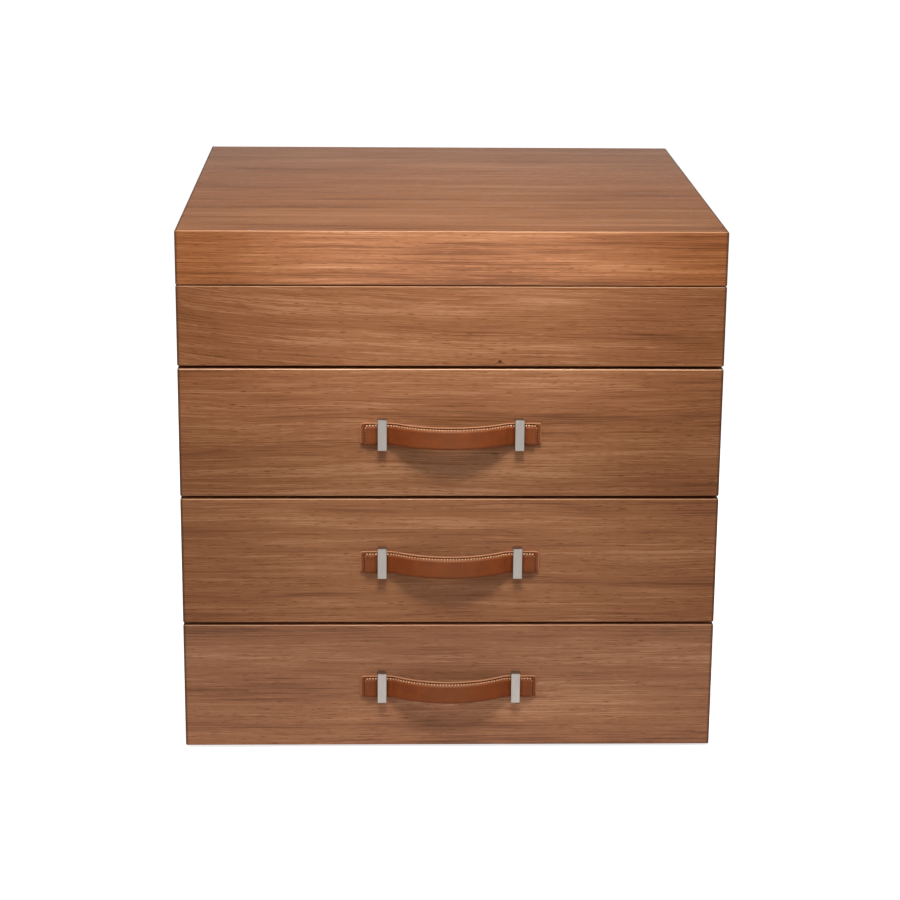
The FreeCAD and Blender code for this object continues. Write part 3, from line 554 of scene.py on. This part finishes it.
def thread():
    """Waxed thread, lighter than the leather, with its fuzz; painted shade darkens it where it is drawn in
    deep.
    """
    material, tree, shader, coordinates = new_material("waxed thread", Specular_IOR_Level=THREAD_SHINE)
    fuzz = speckled(tree, coordinates, THREAD_FUZZ)
    stitch_shade = maths(tree, "MULTIPLY", painted(tree, "drawn"), END_STITCH_SHADE)
    colour = mixed(tree, stitch_shade, varied(tree, fuzz, THREAD, THREAD_TONES), LEATHER_FACE)
    dull = rising(tree, fuzz, THREAD_ROUGHNESS, THREAD_FUZZ_ROUGHNESS)
    apply_finish(tree, shader, colour, dull, fuzz, THREAD_RELIEF)
    return material


FELT_DARK = (0.028, 0.018, 0.012, 1.0)
FELT_LIGHT = (0.075, 0.050, 0.034, 1.0)
FELT_SHINE = 0.05
FELT_SHEEN = 0.4
FELT_FUZZ = 0.0009
FELT_ROUGHNESS = 0.85
FELT_FUZZ_ROUGHNESS = 0.1
FELT_RELIEF = 0.0003


def felt():
    """Pressed wool."""
    material, tree, shader, coordinates = new_material(
        "pressed felt", Specular_IOR_Level=FELT_SHINE, Sheen_Weight=FELT_SHEEN,
    )
    fuzz = speckled(tree, coordinates, FELT_FUZZ, detail=4.0, roughness=0.7)
    dull = rising(tree, fuzz, FELT_ROUGHNESS, FELT_FUZZ_ROUGHNESS)
    apply_finish(tree, shader, mixed(tree, fuzz, FELT_DARK, FELT_LIGHT), dull, fuzz, FELT_RELIEF)
    return material


# Finishes of the CAD nodes


def dress(node_name, material):
    """Give a CAD node its finish."""
    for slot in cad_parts[node_name].material_slots:
        slot.material = material


def board_shade(board, lowest, highest):
    """Painted shade on a board: how much darker or lighter it is made from its lower edge to its upper one."""
    low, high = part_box(board)
    return low[2], high[2], lowest, highest


# Show boards: the turn of the grain, where in the log each is cut from, and how its figure runs.
WALNUT_BOARDS = {
    "lid_top": dict(
        turn=GRAIN_X_FLAT, cut=(0.9, 0.4, 0.0), sway=0.003, band=0.007, contrast=1.4, tone=1.02, end_shade=0.033,
    ),
    # The lid's front rail is toned lighter and darkened fully at its ends: a painted pool of light on its
    # middle.
    "lid_front_rail": dict(
        turn=GRAIN_X_UPRIGHT, cut=(2.1, 0.2, 0.3), band=0.008, contrast=2.0, tone=1.46, grey=0.008, end_shade=1.0,
    ),
    "lid_back_rail": dict(turn=GRAIN_X_UPRIGHT, cut=(3.4, 0.7, 0.1)),
    "lid_left_rail": dict(turn=GRAIN_Y_UPRIGHT, cut=(4.2, 0.3, 0.5)),
    "lid_right_rail": dict(turn=GRAIN_Y_UPRIGHT, cut=(5.3, 0.9, 0.2)),
    "upper_front": dict(
        turn=GRAIN_X_UPRIGHT, cut=(6.2, 0.5, 0.8), slant=-0.16, band=0.009, contrast=1.85, grey=-0.003,
        end_shade=0.55, knot=KNOT_PLACE,
    ),
    # Drawer 1's front has the palest painted highlight on its upper edge, and painted shade makes it darker
    # towards its foot.
    "drawer_1_front": dict(
        turn=GRAIN_X_UPRIGHT, cut=(7.7, 0.1, 0.6), sway=0.009, band=0.008, contrast=1.8, end_shade=0.5,
        shaded=board_shade("drawer_1_front", 0.84, 1.05), highlight_colour=WALNUT_PALEST_EDGE_HIGHLIGHT, highlight_share=1.0,
    ),
    "drawer_2_front": dict(
        turn=GRAIN_X_UPRIGHT, cut=(8.4, 0.8, 0.4), sway=0.007, band=0.008, tone=0.95, grey=0.005, end_shade=0.42,
    ),
    # Drawer 3's front is made lighter at its foot and darker at its top, as painted light.
    "drawer_3_front": dict(
        turn=GRAIN_X_UPRIGHT, cut=(9.1, 0.6, 0.7), sway=0.005, band=0.008, contrast=1.85, grey=0.017,
        end_shade=0.067, shaded=board_shade("drawer_3_front", 1.08, 0.9),
    ),
    "case_left_side": dict(turn=GRAIN_Y_UPRIGHT, cut=(10.3, 0.2, 0.9), sway=0.006),
    "case_right_side": dict(turn=GRAIN_Y_UPRIGHT, cut=(11.6, 0.4, 0.3), sway=0.006),
    "case_back": dict(turn=GRAIN_X_UPRIGHT, cut=(12.5, 0.9, 0.5), sway=0.006),
    "case_bottom": dict(turn=GRAIN_X_FLAT, cut=(13.2, 0.3, 0.2), tone=0.9),
    "compartment_floor": dict(turn=GRAIN_X_FLAT, cut=(14.8, 0.6, 0.4)),
}
for board, cutting in WALNUT_BOARDS.items():
    dress(board, walnut(f"walnut {board}", **cutting))

DRAWER_BOARDS = {
    "inner_front": GRAIN_X_UPRIGHT, "back": GRAIN_X_UPRIGHT, "bottom": GRAIN_X_FLAT,
    "left_side": GRAIN_Y_UPRIGHT, "right_side": GRAIN_Y_UPRIGHT,
}
# How far apart in the log the boards of a drawer box are cut.
CUT_STEP = (0.7, 0.31, 0.17)
for count, (board, turn) in enumerate(DRAWER_BOARDS.items()):
    box_wood = pale_timber(f"drawer wood {board}", turn, tuple(step * count for step in CUT_STEP))
    for drawer in DRAWERS:
        dress(f"drawer_{drawer}_{board}", box_wood)
runner_wood = pale_timber("runner wood", GRAIN_Y_UPRIGHT, (5.1, 0.4, 0.2), tone=0.9)
dress("upper_front_dowels", pale_timber("dowel wood", GRAIN_Y_UPRIGHT, (6.3, 0.2, 0.5), tone=0.95))

loop_metal = satin_metal("satin nickel loops", NICKEL, roughness=0.34, brush=(0.0004, 0.0004, 0.012))
hinge_metal = satin_metal("satin nickel hinges", NICKEL, roughness=0.32, brush=(0.012, 0.0004, 0.0004))
screw_metal = satin_metal("turned steel", STEEL, roughness=0.36, brush=(0.0006, 0.0006, 0.0006))
for drawer in DRAWERS:
    dress(f"drawer_{drawer}_runners", runner_wood)
    dress(f"drawer_{drawer}_loops", loop_metal)
    for fitting in ("loop_nuts", "front_screws", "stop_pins"):
        dress(f"drawer_{drawer}_{fitting}", screw_metal)
for fitting in ("hinge_case_leaves", "hinge_lid_leaves", "hinge_pins"):
    dress(fitting, hinge_metal)
for fitting in ("hinge_case_screws", "hinge_lid_screws", "runner_screws"):
    dress(fitting, screw_metal)
pad_felt = felt()
for pad in ("foot_pads", "lid_bumpers"):
    dress(pad, pad_felt)


# Strap pulls

# The sizes of the strap and its loops in the part's source.
STRAP_LENGTH = 126.5 * MM
STRAP_HEIGHT = 16 * MM
STRAP_THICKNESS = 4.2 * MM
STRAP_BOW = 13 * MM
STRAP_BEND = 43.75 * MM
STRAP_BEND_RADIUS = 11 * MM
STRAP_CORNER = 1.8 * MM
LOOP_PLACE = 48 * MM
LOOP_HALF = 3.25 * MM
# The leather is folded up round a pad, and stitched along its top edge and across its ends.
LIP_THICKNESS = 2.5 * MM
LIP_ROUNDING = 0.7 * MM
FOLD_ROUNDING = 1.6 * MM
FOLD_SHADE = -5.6 * MM
CREASE_INSET = 1.3 * MM
STITCH_INSET = 1.9 * MM
END_MARGIN = 1.7 * MM
PAD_CORNER = 3.5 * MM
PAD_START = 1.8 * MM
PAD_SHOULDER = 1.8 * MM
GROOVE_HALF = 0.75 * MM
GROOVE_DEPTH = 0.5 * MM
PINCH_REACH = 2.2 * MM
PINCH_SHARE = 0.6
# How far the painted shade of the crease spreads, and where and how strong the painted highlight is: on the
# pad's shoulder, most in the middle of the bow, and over the whole of its tabs and the middle of its bow.
CREASE_SPREAD = 1.6
SHOULDER_PLACE = 0.35
SHOULDER_HALF = 0.4
SHOULDER_SPREAD = 1.2
SHOULDER_HIGHLIGHT = 0.35
TAB_HIGHLIGHT = 0.2
BOW_HIGHLIGHT = 0.3

bend_turn = 2 * math.atan2(STRAP_BOW, STRAP_BEND)
bow_radius = STRAP_BEND / math.sin(bend_turn) - STRAP_BEND_RADIUS
bow_end = bow_radius * bend_turn
bend_end = bow_end + STRAP_BEND_RADIUS * bend_turn
strap_half = STRAP_LENGTH / 2 - STRAP_BEND + bend_end
loop_run = LOOP_PLACE - STRAP_BEND + bend_end
half_height = STRAP_HEIGHT / 2


def strap_line(distance):
    """The strap's middle line seen from above, this far along it from its middle.

    It gives the place across and out from the drawer front, and the direction square to the line.
    """
    side = math.copysign(1.0, distance)
    run = abs(distance)
    if run <= bow_end:
        angle = run / bow_radius
        across = bow_radius * math.sin(angle)
        out = STRAP_BOW - bow_radius * (1 - math.cos(angle))
    elif run <= bend_end:
        angle = (bend_end - run) / STRAP_BEND_RADIUS
        across = STRAP_BEND - STRAP_BEND_RADIUS * math.sin(angle)
        out = STRAP_BEND_RADIUS * (1 - math.cos(angle))
    else:
        angle = 0.0
        across = STRAP_BEND + run - bend_end
        out = 0.0
    return side * across, out, side * math.sin(angle), math.cos(angle)


def strap_point(centre, distance, up, thick):
    """A point of the strap: this far along it, up from its middle and out from its back."""
    across, out, square_across, square_out = strap_line(distance)
    lift = thick - STRAP_THICKNESS / 2
    return Vector((
        centre.x + across + square_across * lift,
        centre.y - STRAP_THICKNESS / 2 - out - square_out * lift,
        centre.z + up,
    ))


def eased(value):
    """The value held between 0 and 1, with soft turns at both."""
    held = min(max(value, 0.0), 1.0)
    return held * held * (3 - 2 * held)


def inset(distance, up):
    """How far a point lies inside the stitched edges, which meet in rounded corners; the fold has no seam."""
    beyond_end = abs(distance) - (strap_half - END_MARGIN - PAD_CORNER)
    beyond_top = up - (half_height - PAD_CORNER)
    corner = math.hypot(max(beyond_end, 0.0), max(beyond_top, 0.0))
    return PAD_CORNER - corner - min(max(beyond_end, beyond_top), 0.0)


def padded_thickness(distance, up):
    """Thickness of the strap: a flat lip, a groove for the stitches, and a pad that each loop presses in."""
    depth = inset(distance, up)
    swell = min(max((depth - PAD_START) / PAD_SHOULDER, 0.0), 1.0)
    crown = math.sin(swell * math.pi / 2)
    freed = eased((abs(abs(distance) - loop_run) - LOOP_HALF) / PINCH_REACH)
    crown *= 1 - PINCH_SHARE * (1 - freed)
    groove = eased(1 - abs(depth - CREASE_INSET) / GROOVE_HALF)
    return LIP_THICKNESS + (STRAP_THICKNESS - LIP_THICKNESS) * crown - GROOVE_DEPTH * groove


def divided(start, end, count):
    """This many evenly spaced values from start to just before end."""
    return [start + (end - start) * i / count for i in range(count)]


def steps(start, end, step):
    """Values about this step apart, from start to just before end."""
    return divided(start, end, max(1, round((end - start) / step)))


FINE = 0.28 * MM
COARSE = 0.9 * MM
END_ZONE = 8 * MM
SEAM_ZONE = 5.5 * MM
ROUNDING_STEPS = 5
# Places across the strap: fine over the lip, the groove and the shoulder, coarser over the rest of the face.
top_flat = half_height - LIP_ROUNDING
bottom_flat = half_height - FOLD_ROUNDING
seam_start = half_height - SEAM_ZONE
face_rows = steps(-bottom_flat, seam_start, COARSE) + steps(seam_start, top_flat, FINE) + [top_flat]
back_rows = steps(top_flat, -bottom_flat, -COARSE) + [-bottom_flat]
half_turn = divided(0.0, math.pi, 2 * ROUNDING_STEPS)[1:]
# Places along it, with the last ones close together where the end and its corners are rounded.
end_start = strap_half - STRAP_CORNER
fine_start = strap_half - END_ZONE
end_turns = [math.pi / 2 * i / ROUNDING_STEPS for i in range(ROUNDING_STEPS + 1)]
end_runs = [end_start + STRAP_CORNER * math.sin(turn) for turn in end_turns]
half_runs = steps(0.0, fine_start, COARSE) + steps(fine_start, end_start, FINE) + end_runs
runs = [-run for run in reversed(half_runs[1:])] + half_runs


def section(run):
    """The closed outline of the strap at this place: (up, thickness, share of cut edge) for each point."""
    past = max(abs(run) - end_start, 0.0)
    reach = half_height - STRAP_CORNER + math.sqrt(max(STRAP_CORNER**2 - past**2, 0.0))
    squeeze = reach / half_height
    sunk = max(LIP_ROUNDING - (strap_half - abs(run)), 0.0)
    shrink = LIP_ROUNDING - math.sqrt(max(LIP_ROUNDING**2 - sunk**2, 0.0))
    near_end = sunk / LIP_ROUNDING
    lip_middle = LIP_THICKNESS / 2
    fold_middle = padded_thickness(run, -bottom_flat) / 2
    points = []
    for up in face_rows:
        thick = max(padded_thickness(run, up * squeeze) - shrink, lip_middle)
        points.append((up * squeeze, thick, near_end))
    for turn in half_turn:
        thick = lip_middle + (lip_middle - shrink) * math.cos(turn)
        points.append(((top_flat + LIP_ROUNDING * math.sin(turn)) * squeeze, thick, math.sin(turn)))
    for up in back_rows:
        points.append((up * squeeze, min(shrink, lip_middle), near_end))
    for turn in half_turn:
        thick = fold_middle - (fold_middle - shrink) * math.cos(turn)
        points.append((-(bottom_flat + FOLD_ROUNDING * math.sin(turn)) * squeeze, thick, near_end))
    return points


def face_marks(run, up):
    """How much painted shade a point on the strap's face takes in its crease and fold, and how much painted
    highlight.
    """
    depth = inset(run, up)
    in_groove = eased(CREASE_SPREAD - abs(depth - CREASE_INSET) / GROOVE_HALF)
    in_fold = eased((FOLD_SHADE - up) / FOLD_ROUNDING)
    from_shoulder = abs(depth - PAD_START - SHOULDER_PLACE * PAD_SHOULDER) / (SHOULDER_HALF * PAD_SHOULDER)
    on_shoulder = eased(SHOULDER_SPREAD - from_shoulder)
    on_tab = eased((abs(run) - loop_run) / LOOP_HALF)
    mid_bow = eased(1 - abs(run) / bow_end)
    shoulder_highlight = on_shoulder * (SHOULDER_HIGHLIGHT + (1 - SHOULDER_HIGHLIGHT) * mid_bow)
    return max(in_groove, in_fold), max(shoulder_highlight, TAB_HIGHLIGHT * on_tab, BOW_HIGHLIGHT * mid_bow)


def strap_mesh(name, centre):
    """The padded strap as one closed mesh, with its painted shade, painted highlights and cut edge as
    attributes.
    """
    points, painted_shades, painted_highlights, edges, faces = [], [], [], [], []
    for run in runs:
        outline = section(run)
        for place, (up, thick, edge) in enumerate(outline):
            painted_shade, painted_highlight = face_marks(run, up) if place < len(face_rows) else (0.0, 0.0)
            points.append(strap_point(centre, run, up, thick))
            painted_shades.append(painted_shade)
            painted_highlights.append(painted_highlight)
            edges.append(edge)
    size = len(outline)
    for row in range(len(runs) - 1):
        low = row * size
        high = low + size
        for place in range(size):
            after = (place + 1) % size
            faces.append((low + place, low + after, high + after, high + place))
    faces.append(tuple(range(size - 1, -1, -1)))
    faces.append(tuple(range((len(runs) - 1) * size, len(runs) * size)))
    mesh = bpy.data.meshes.new(name)
    mesh.from_pydata(points, [], faces)
    for label, values in (("painted_shade", painted_shades), ("painted_highlight", painted_highlights), ("cut_edge", edges)):
        mesh.attributes.new(label, "FLOAT", "POINT").data.foreach_set("value", values)
    mesh.polygons.foreach_set("use_smooth", [True] * len(mesh.polygons))
    mesh.validate()
    mesh.update()
    return mesh


STITCH_PITCH = 2.1 * MM
STITCH_LENGTH = 1.5 * MM
STITCH_WIDTH = 1.2 * MM
STITCH_HEIGHT = 1.15 * MM
STITCH_SLANT = math.radians(28)
STITCH_SCATTER = math.radians(4)
STITCH_SEED = 7
# Facets round a stitch and along it.
STITCH_SEGMENTS = 8
STITCH_RINGS = 6
# How much deeper the stitches across the ends are drawn into the leather.
STITCH_SINK = 0.36 * MM
SEAM_STEP = 0.4 * MM


def seam_outline():
    """The stitch line: (run, up) points up one end of the strap, along its top and down the other end."""
    corner_run = strap_half - END_MARGIN - PAD_CORNER
    corner_up = half_height - PAD_CORNER
    radius = PAD_CORNER - STITCH_INSET
    half = [(0.0, corner_up + radius)]
    for step in range(ROUNDING_STEPS + 1):
        angle = math.pi / 2 * (1 - step / ROUNDING_STEPS)
        half.append((corner_run + radius * math.cos(angle), corner_up + radius * math.sin(angle)))
    half.append((corner_run + radius, -bottom_flat))
    outline = [(-run, up) for run, up in reversed(half[1:])] + half
    dense = []
    for (run_a, up_a), (run_b, up_b) in zip(outline, outline[1:]):
        count = max(1, round(math.hypot(run_b - run_a, up_b - up_a) / SEAM_STEP))
        dense += zip(divided(run_a, run_b, count), divided(up_a, up_b, count))
    return dense + [outline[-1]]


def seam_lines(name, centre):
    """The stitch line on the strap's front and back, with the way out of the leather at each point."""
    outline = seam_outline()
    points, outward, drawn, edges = [], [], [], []
    for front in (True, False):
        start = len(points)
        for run, up in outline:
            _, _, square_across, square_out = strap_line(run)
            facing = Vector((square_across, -square_out, 0.0))
            drawn.append(eased((half_height - STITCH_INSET - up) / PAD_CORNER))
            thick = padded_thickness(run, up) - STITCH_SINK * drawn[-1]
            points.append(strap_point(centre, run, up, thick if front else 0.0))
            outward.append(facing if front else -facing)
        edges += [(start + i, start + i + 1) for i in range(len(outline) - 1)]
    mesh = bpy.data.meshes.new(name)
    mesh.from_pydata(points, edges, [])
    flat = [part for facing in outward for part in facing]
    mesh.attributes.new("outward", "FLOAT_VECTOR", "POINT").data.foreach_set("vector", flat)
    mesh.attributes.new("drawn", "FLOAT", "POINT").data.foreach_set("value", drawn)
    return mesh


def stitching_tree():
    """Stitches set at an even pitch along a seam, each slanted a little against it."""
    tree = bpy.data.node_groups.new("Strap stitching", "GeometryNodeTree")
    tree.interface.new_socket(name="Seam", in_out="INPUT", socket_type="NodeSocketGeometry")
    for label in ("Pitch", "Length", "Width", "Height", "Slant", "Scatter"):
        tree.interface.new_socket(name=label, in_out="INPUT", socket_type="NodeSocketFloat")
    tree.interface.new_socket(name="Thread", in_out="INPUT", socket_type="NodeSocketMaterial")
    tree.interface.new_socket(name="Stitches", in_out="OUTPUT", socket_type="NodeSocketGeometry")
    given = tree.nodes.new("NodeGroupInput").outputs
    curve = put(tree, "GeometryNodeMeshToCurve", {"Mesh": given["Seam"]}).outputs[0]
    spacing = {"Curve": curve, "Length": given["Pitch"]}
    spaced = put(tree, "GeometryNodeResampleCurve", spacing, mode="LENGTH").outputs[0]
    # A ball of unit size, drawn out to the size of a stitch.
    round_form = {"Segments": STITCH_SEGMENTS, "Rings": STITCH_RINGS, "Radius": 0.5}
    ball = put(tree, "GeometryNodeMeshUVSphere", round_form).outputs["Mesh"]
    size = joined(tree, given["Length"], given["Width"], given["Height"])
    shaped = put(tree, "GeometryNodeTransform", {"Geometry": ball, "Scale": size}).outputs[0]
    # Each stitch stands out of the leather, lies along the seam and leans by the slant, more or less.
    outward = put(tree, "GeometryNodeInputNamedAttribute", {"Name": "outward"}, data_type="FLOAT_VECTOR")
    standing = {"Vector": outward.outputs["Attribute"]}
    stood = put(tree, "FunctionNodeAlignRotationToVector", standing, axis="Z").outputs[0]
    lying = {"Rotation": stood, "Vector": tree.nodes.new("GeometryNodeInputTangent").outputs[0]}
    laid = put(tree, "FunctionNodeAlignRotationToVector", lying, axis="X", pivot_axis="Z").outputs[0]
    wobble = put(tree, "FunctionNodeRandomValue", {"Seed": STITCH_SEED}, data_type="FLOAT")
    for label, sign in (("Min", -1.0), ("Max", 1.0)):
        socket = next(s for s in wobble.inputs if s.name == label and s.type == "VALUE" and s.enabled)
        tree.links.new(maths(tree, "MULTIPLY", given["Scatter"], sign), socket)
    turned = next(s for s in wobble.outputs if s.type == "VALUE" and s.enabled)
    angles = joined(tree, 0.0, 0.0, maths(tree, "ADD", given["Slant"], turned))
    lean = put(tree, "FunctionNodeEulerToRotation", {0: angles}).outputs[0]
    leaning = {"Rotation": laid, "Rotate By": lean}
    slanted = put(tree, "FunctionNodeRotateRotation", leaning, rotation_space="LOCAL").outputs[0]
    setting = {"Points": spaced, "Instance": shaped, "Rotation": slanted}
    placed = put(tree, "GeometryNodeInstanceOnPoints", setting).outputs[0]
    real = put(tree, "GeometryNodeRealizeInstances", {0: placed}).outputs[0]
    smooth = put(tree, "GeometryNodeSetShadeSmooth", {0: real}).outputs[0]
    coloured = {"Geometry": smooth, "Material": given["Thread"]}
    threaded = put(tree, "GeometryNodeSetMaterial", coloured).outputs[0]
    tree.links.new(threaded, tree.nodes.new("NodeGroupOutput").inputs[0])
    return tree


def stitched(name, seam, tree, values):
    """The mesh that the stitching tree makes along a seam."""
    carrier = bpy.data.objects.new(name, seam)
    scene.collection.objects.link(carrier)
    modifier = carrier.modifiers.new("stitching", "NODES")
    modifier.node_group = tree
    for item in tree.interface.items_tree:
        if item.in_out == "INPUT" and item.name in values:
            modifier[item.identifier] = values[item.name]
    result = bpy.data.meshes.new_from_object(carrier.evaluated_get(bpy.context.evaluated_depsgraph_get()))
    bpy.data.objects.remove(carrier)
    return result


def piece(name, mesh, material, body):
    """A finished piece in the scene, riding on its body."""
    mesh.materials.clear()
    mesh.materials.append(material)
    thing = bpy.data.objects.new(name, mesh)
    scene.collection.objects.link(thing)
    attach(thing, body)
    return thing


strap_leather = leather()
strap_thread = thread()
stitching = stitching_tree()
stitch_values = {
    "Pitch": STITCH_PITCH, "Length": STITCH_LENGTH, "Width": STITCH_WIDTH, "Height": STITCH_HEIGHT,
    "Slant": STITCH_SLANT, "Scatter": STITCH_SCATTER, "Thread": strap_thread,
}
for drawer in DRAWERS:
    body = f"drawer_{drawer}"
    low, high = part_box(f"{body}_strap")
    strap_centre = Vector(((low[0] + high[0]) / 2, high[1], (low[2] + high[2]) / 2))
    strap = piece(f"{body}_pull", strap_mesh(f"{body}_pull", strap_centre), strap_leather, body)
    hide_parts(f"{body}_strap")
    seam = seam_lines(f"{body}_seam", strap_centre)
    stitches = stitched(f"{body}_seam", seam, stitching, stitch_values)
    piece(f"{body}_pull_stitches", stitches, strap_thread, body)


# Camera

# A plain camera without shift, placed by the chest's corners in the photograph, whose uprights are
# straightened. Its focal length is in pixels of the photograph's frame.
FRAME = 900
SENSOR = 36.0
FOCAL = 2377.0
EYE = (-0.0489, -1.7872, 0.6804)
YAW = -0.0302
PITCH = 0.2770
ROLL = 0.0089

camera = bpy.data.objects.new("camera", bpy.data.cameras.new("camera"))
scene.collection.objects.link(camera)
tilted = Matrix.Rotation(math.pi / 2 - PITCH, 3, "X") @ Matrix.Rotation(ROLL, 3, "Z")
camera.location = EYE
camera.rotation_mode = "QUATERNION"
camera.rotation_quaternion = (Matrix.Rotation(YAW, 3, "Z") @ tilted).to_quaternion()
camera.data.sensor_width = SENSOR
camera.data.lens = FOCAL / FRAME * SENSOR
scene.camera = camera


# Floor, surroundings and lamps


def ray_kinds(tree):
    """Two masks: 1 for rays that look straight at a thing or through glass, and 1 for mirrored ones."""
    path = tree.nodes.new("ShaderNodeLightPath").outputs
    straight = maths(tree, "MAXIMUM", path["Is Camera Ray"], path["Is Transmission Ray"])
    return straight, path["Is Glossy Ray"]


FLOOR_HALF = 8.0
FLOOR_COLOUR = (0.78, 0.78, 0.78, 1.0)
# What is added to the floor where it is seen, which leaves it white and keeps the chest's shadow.
FLOOR_LIFT = 0.74

floor_mesh = bpy.data.meshes.new("floor")
floor_corners = [(x * FLOOR_HALF, y * FLOOR_HALF, 0.0) for x, y in ((-1, -1), (1, -1), (1, 1), (-1, 1))]
floor_mesh.from_pydata(floor_corners, [], [(0, 1, 2, 3)])
floor = bpy.data.objects.new("floor", floor_mesh)
scene.collection.objects.link(floor)
floor_paint, tree, shader, _ = new_material(
    "pale floor", Base_Color=FLOOR_COLOUR, Roughness=0.9, Specular_IOR_Level=0.0, Emission_Color=WHITE,
)
seen = maths(tree, "MAXIMUM", *ray_kinds(tree))
tree.links.new(maths(tree, "MULTIPLY", seen, FLOOR_LIFT), shader.inputs["Emission Strength"])
floor_mesh.materials.append(floor_paint)

# The surroundings are white where they are seen. They light the chest with a low backdrop all round, lower
# behind it and white where it is mirrored, with an even fill that leaves out the part behind it, and with
# wide soft lights overhead and in front. Each fade says where, between square to a direction and along it, a
# light begins and is full; the backdrop's says at what height it begins to fade and where it ends.
BACKDROP = 0.5
BACKDROP_FADE = (0.21, 0.26)
BACKDROP_DIP = 0.107
BEHIND_FADE = (0.8, 0.95)
FILL = 0.12
OVERHEAD = 0.38
OVERHEAD_FADE = (0.2, 0.9)
FRONTAL = 0.55
FRONTAL_FADE = (0.5, 0.97)

world = bpy.data.worlds.new("studio")
scene.world = world
world.use_nodes = True
sky = world.node_tree
background = sky.nodes["Background"].inputs
direction = sky.nodes.new("ShaderNodeTexCoord").outputs["Generated"]


def glow(towards, fade, strength):
    """A soft light that fills the surroundings in one direction."""
    return ranged(sky, cosine(sky, direction, towards), *fade, 0.0, strength)


seen_straight, mirrored = ray_kinds(sky)
behind = glow((0.0, 1.0, 0.0), BEHIND_FADE, 1.0)
dipped = rising(sky, behind, split(sky, direction)[2], BACKDROP_DIP)
backdrop = rising(sky, mirrored, BACKDROP, 1.0 - BACKDROP)
backdrop = maths(sky, "MULTIPLY", backdrop, ranged(sky, dipped, *BACKDROP_FADE, 1.0, 0.0))
overhead = glow((0.0, 0.0, 1.0), OVERHEAD_FADE, OVERHEAD)
frontal = glow((0.0, -1.0, 0.0), FRONTAL_FADE, FRONTAL)
fill = rising(sky, behind, FILL, -FILL)
soft = maths(sky, "ADD", maths(sky, "ADD", overhead, frontal), fill)
lighting = maths(sky, "MAXIMUM", backdrop, soft)
sky.links.new(maths(sky, "MAXIMUM", lighting, seen_straight), background["Strength"])
background["Color"].default_value = WHITE

LAMP_SPREAD = math.radians(40.0)


def softbox(name, place, aim, width, height, power):
    """A rectangular lamp pointed at a spot."""
    lamp = bpy.data.lights.new(name, "AREA")
    lamp.shape = "RECTANGLE"
    lamp.size = width
    lamp.size_y = height
    lamp.energy = power
    lamp.spread = LAMP_SPREAD
    thing = bpy.data.objects.new(name, lamp)
    thing.location = place
    thing.rotation_mode = "QUATERNION"
    thing.rotation_quaternion = (Vector(aim) - Vector(place)).to_track_quat("-Z", "Y")
    scene.collection.objects.link(thing)
    return thing


softbox("key_light", (0.0, -0.85, 1.45), (0.0, -0.05, 0.36), width=0.5, height=0.4, power=1.36)
# Low lamps light the sides and the back, which the front lights don't reach.
LOW_AWAY = 1.9
LOW_UP = 0.24
LOW_AIM = (0.0, 0.0, 0.19)
for side, across, back in (("left", -LOW_AWAY, 0.0), ("right", LOW_AWAY, 0.0), ("back", 0.0, LOW_AWAY)):
    low_lamp = softbox(f"{side}_light", (across, back, LOW_UP), LOW_AIM, width=0.8, height=0.2, power=0.8)
    low_lamp.visible_camera = False
    low_lamp.visible_glossy = False
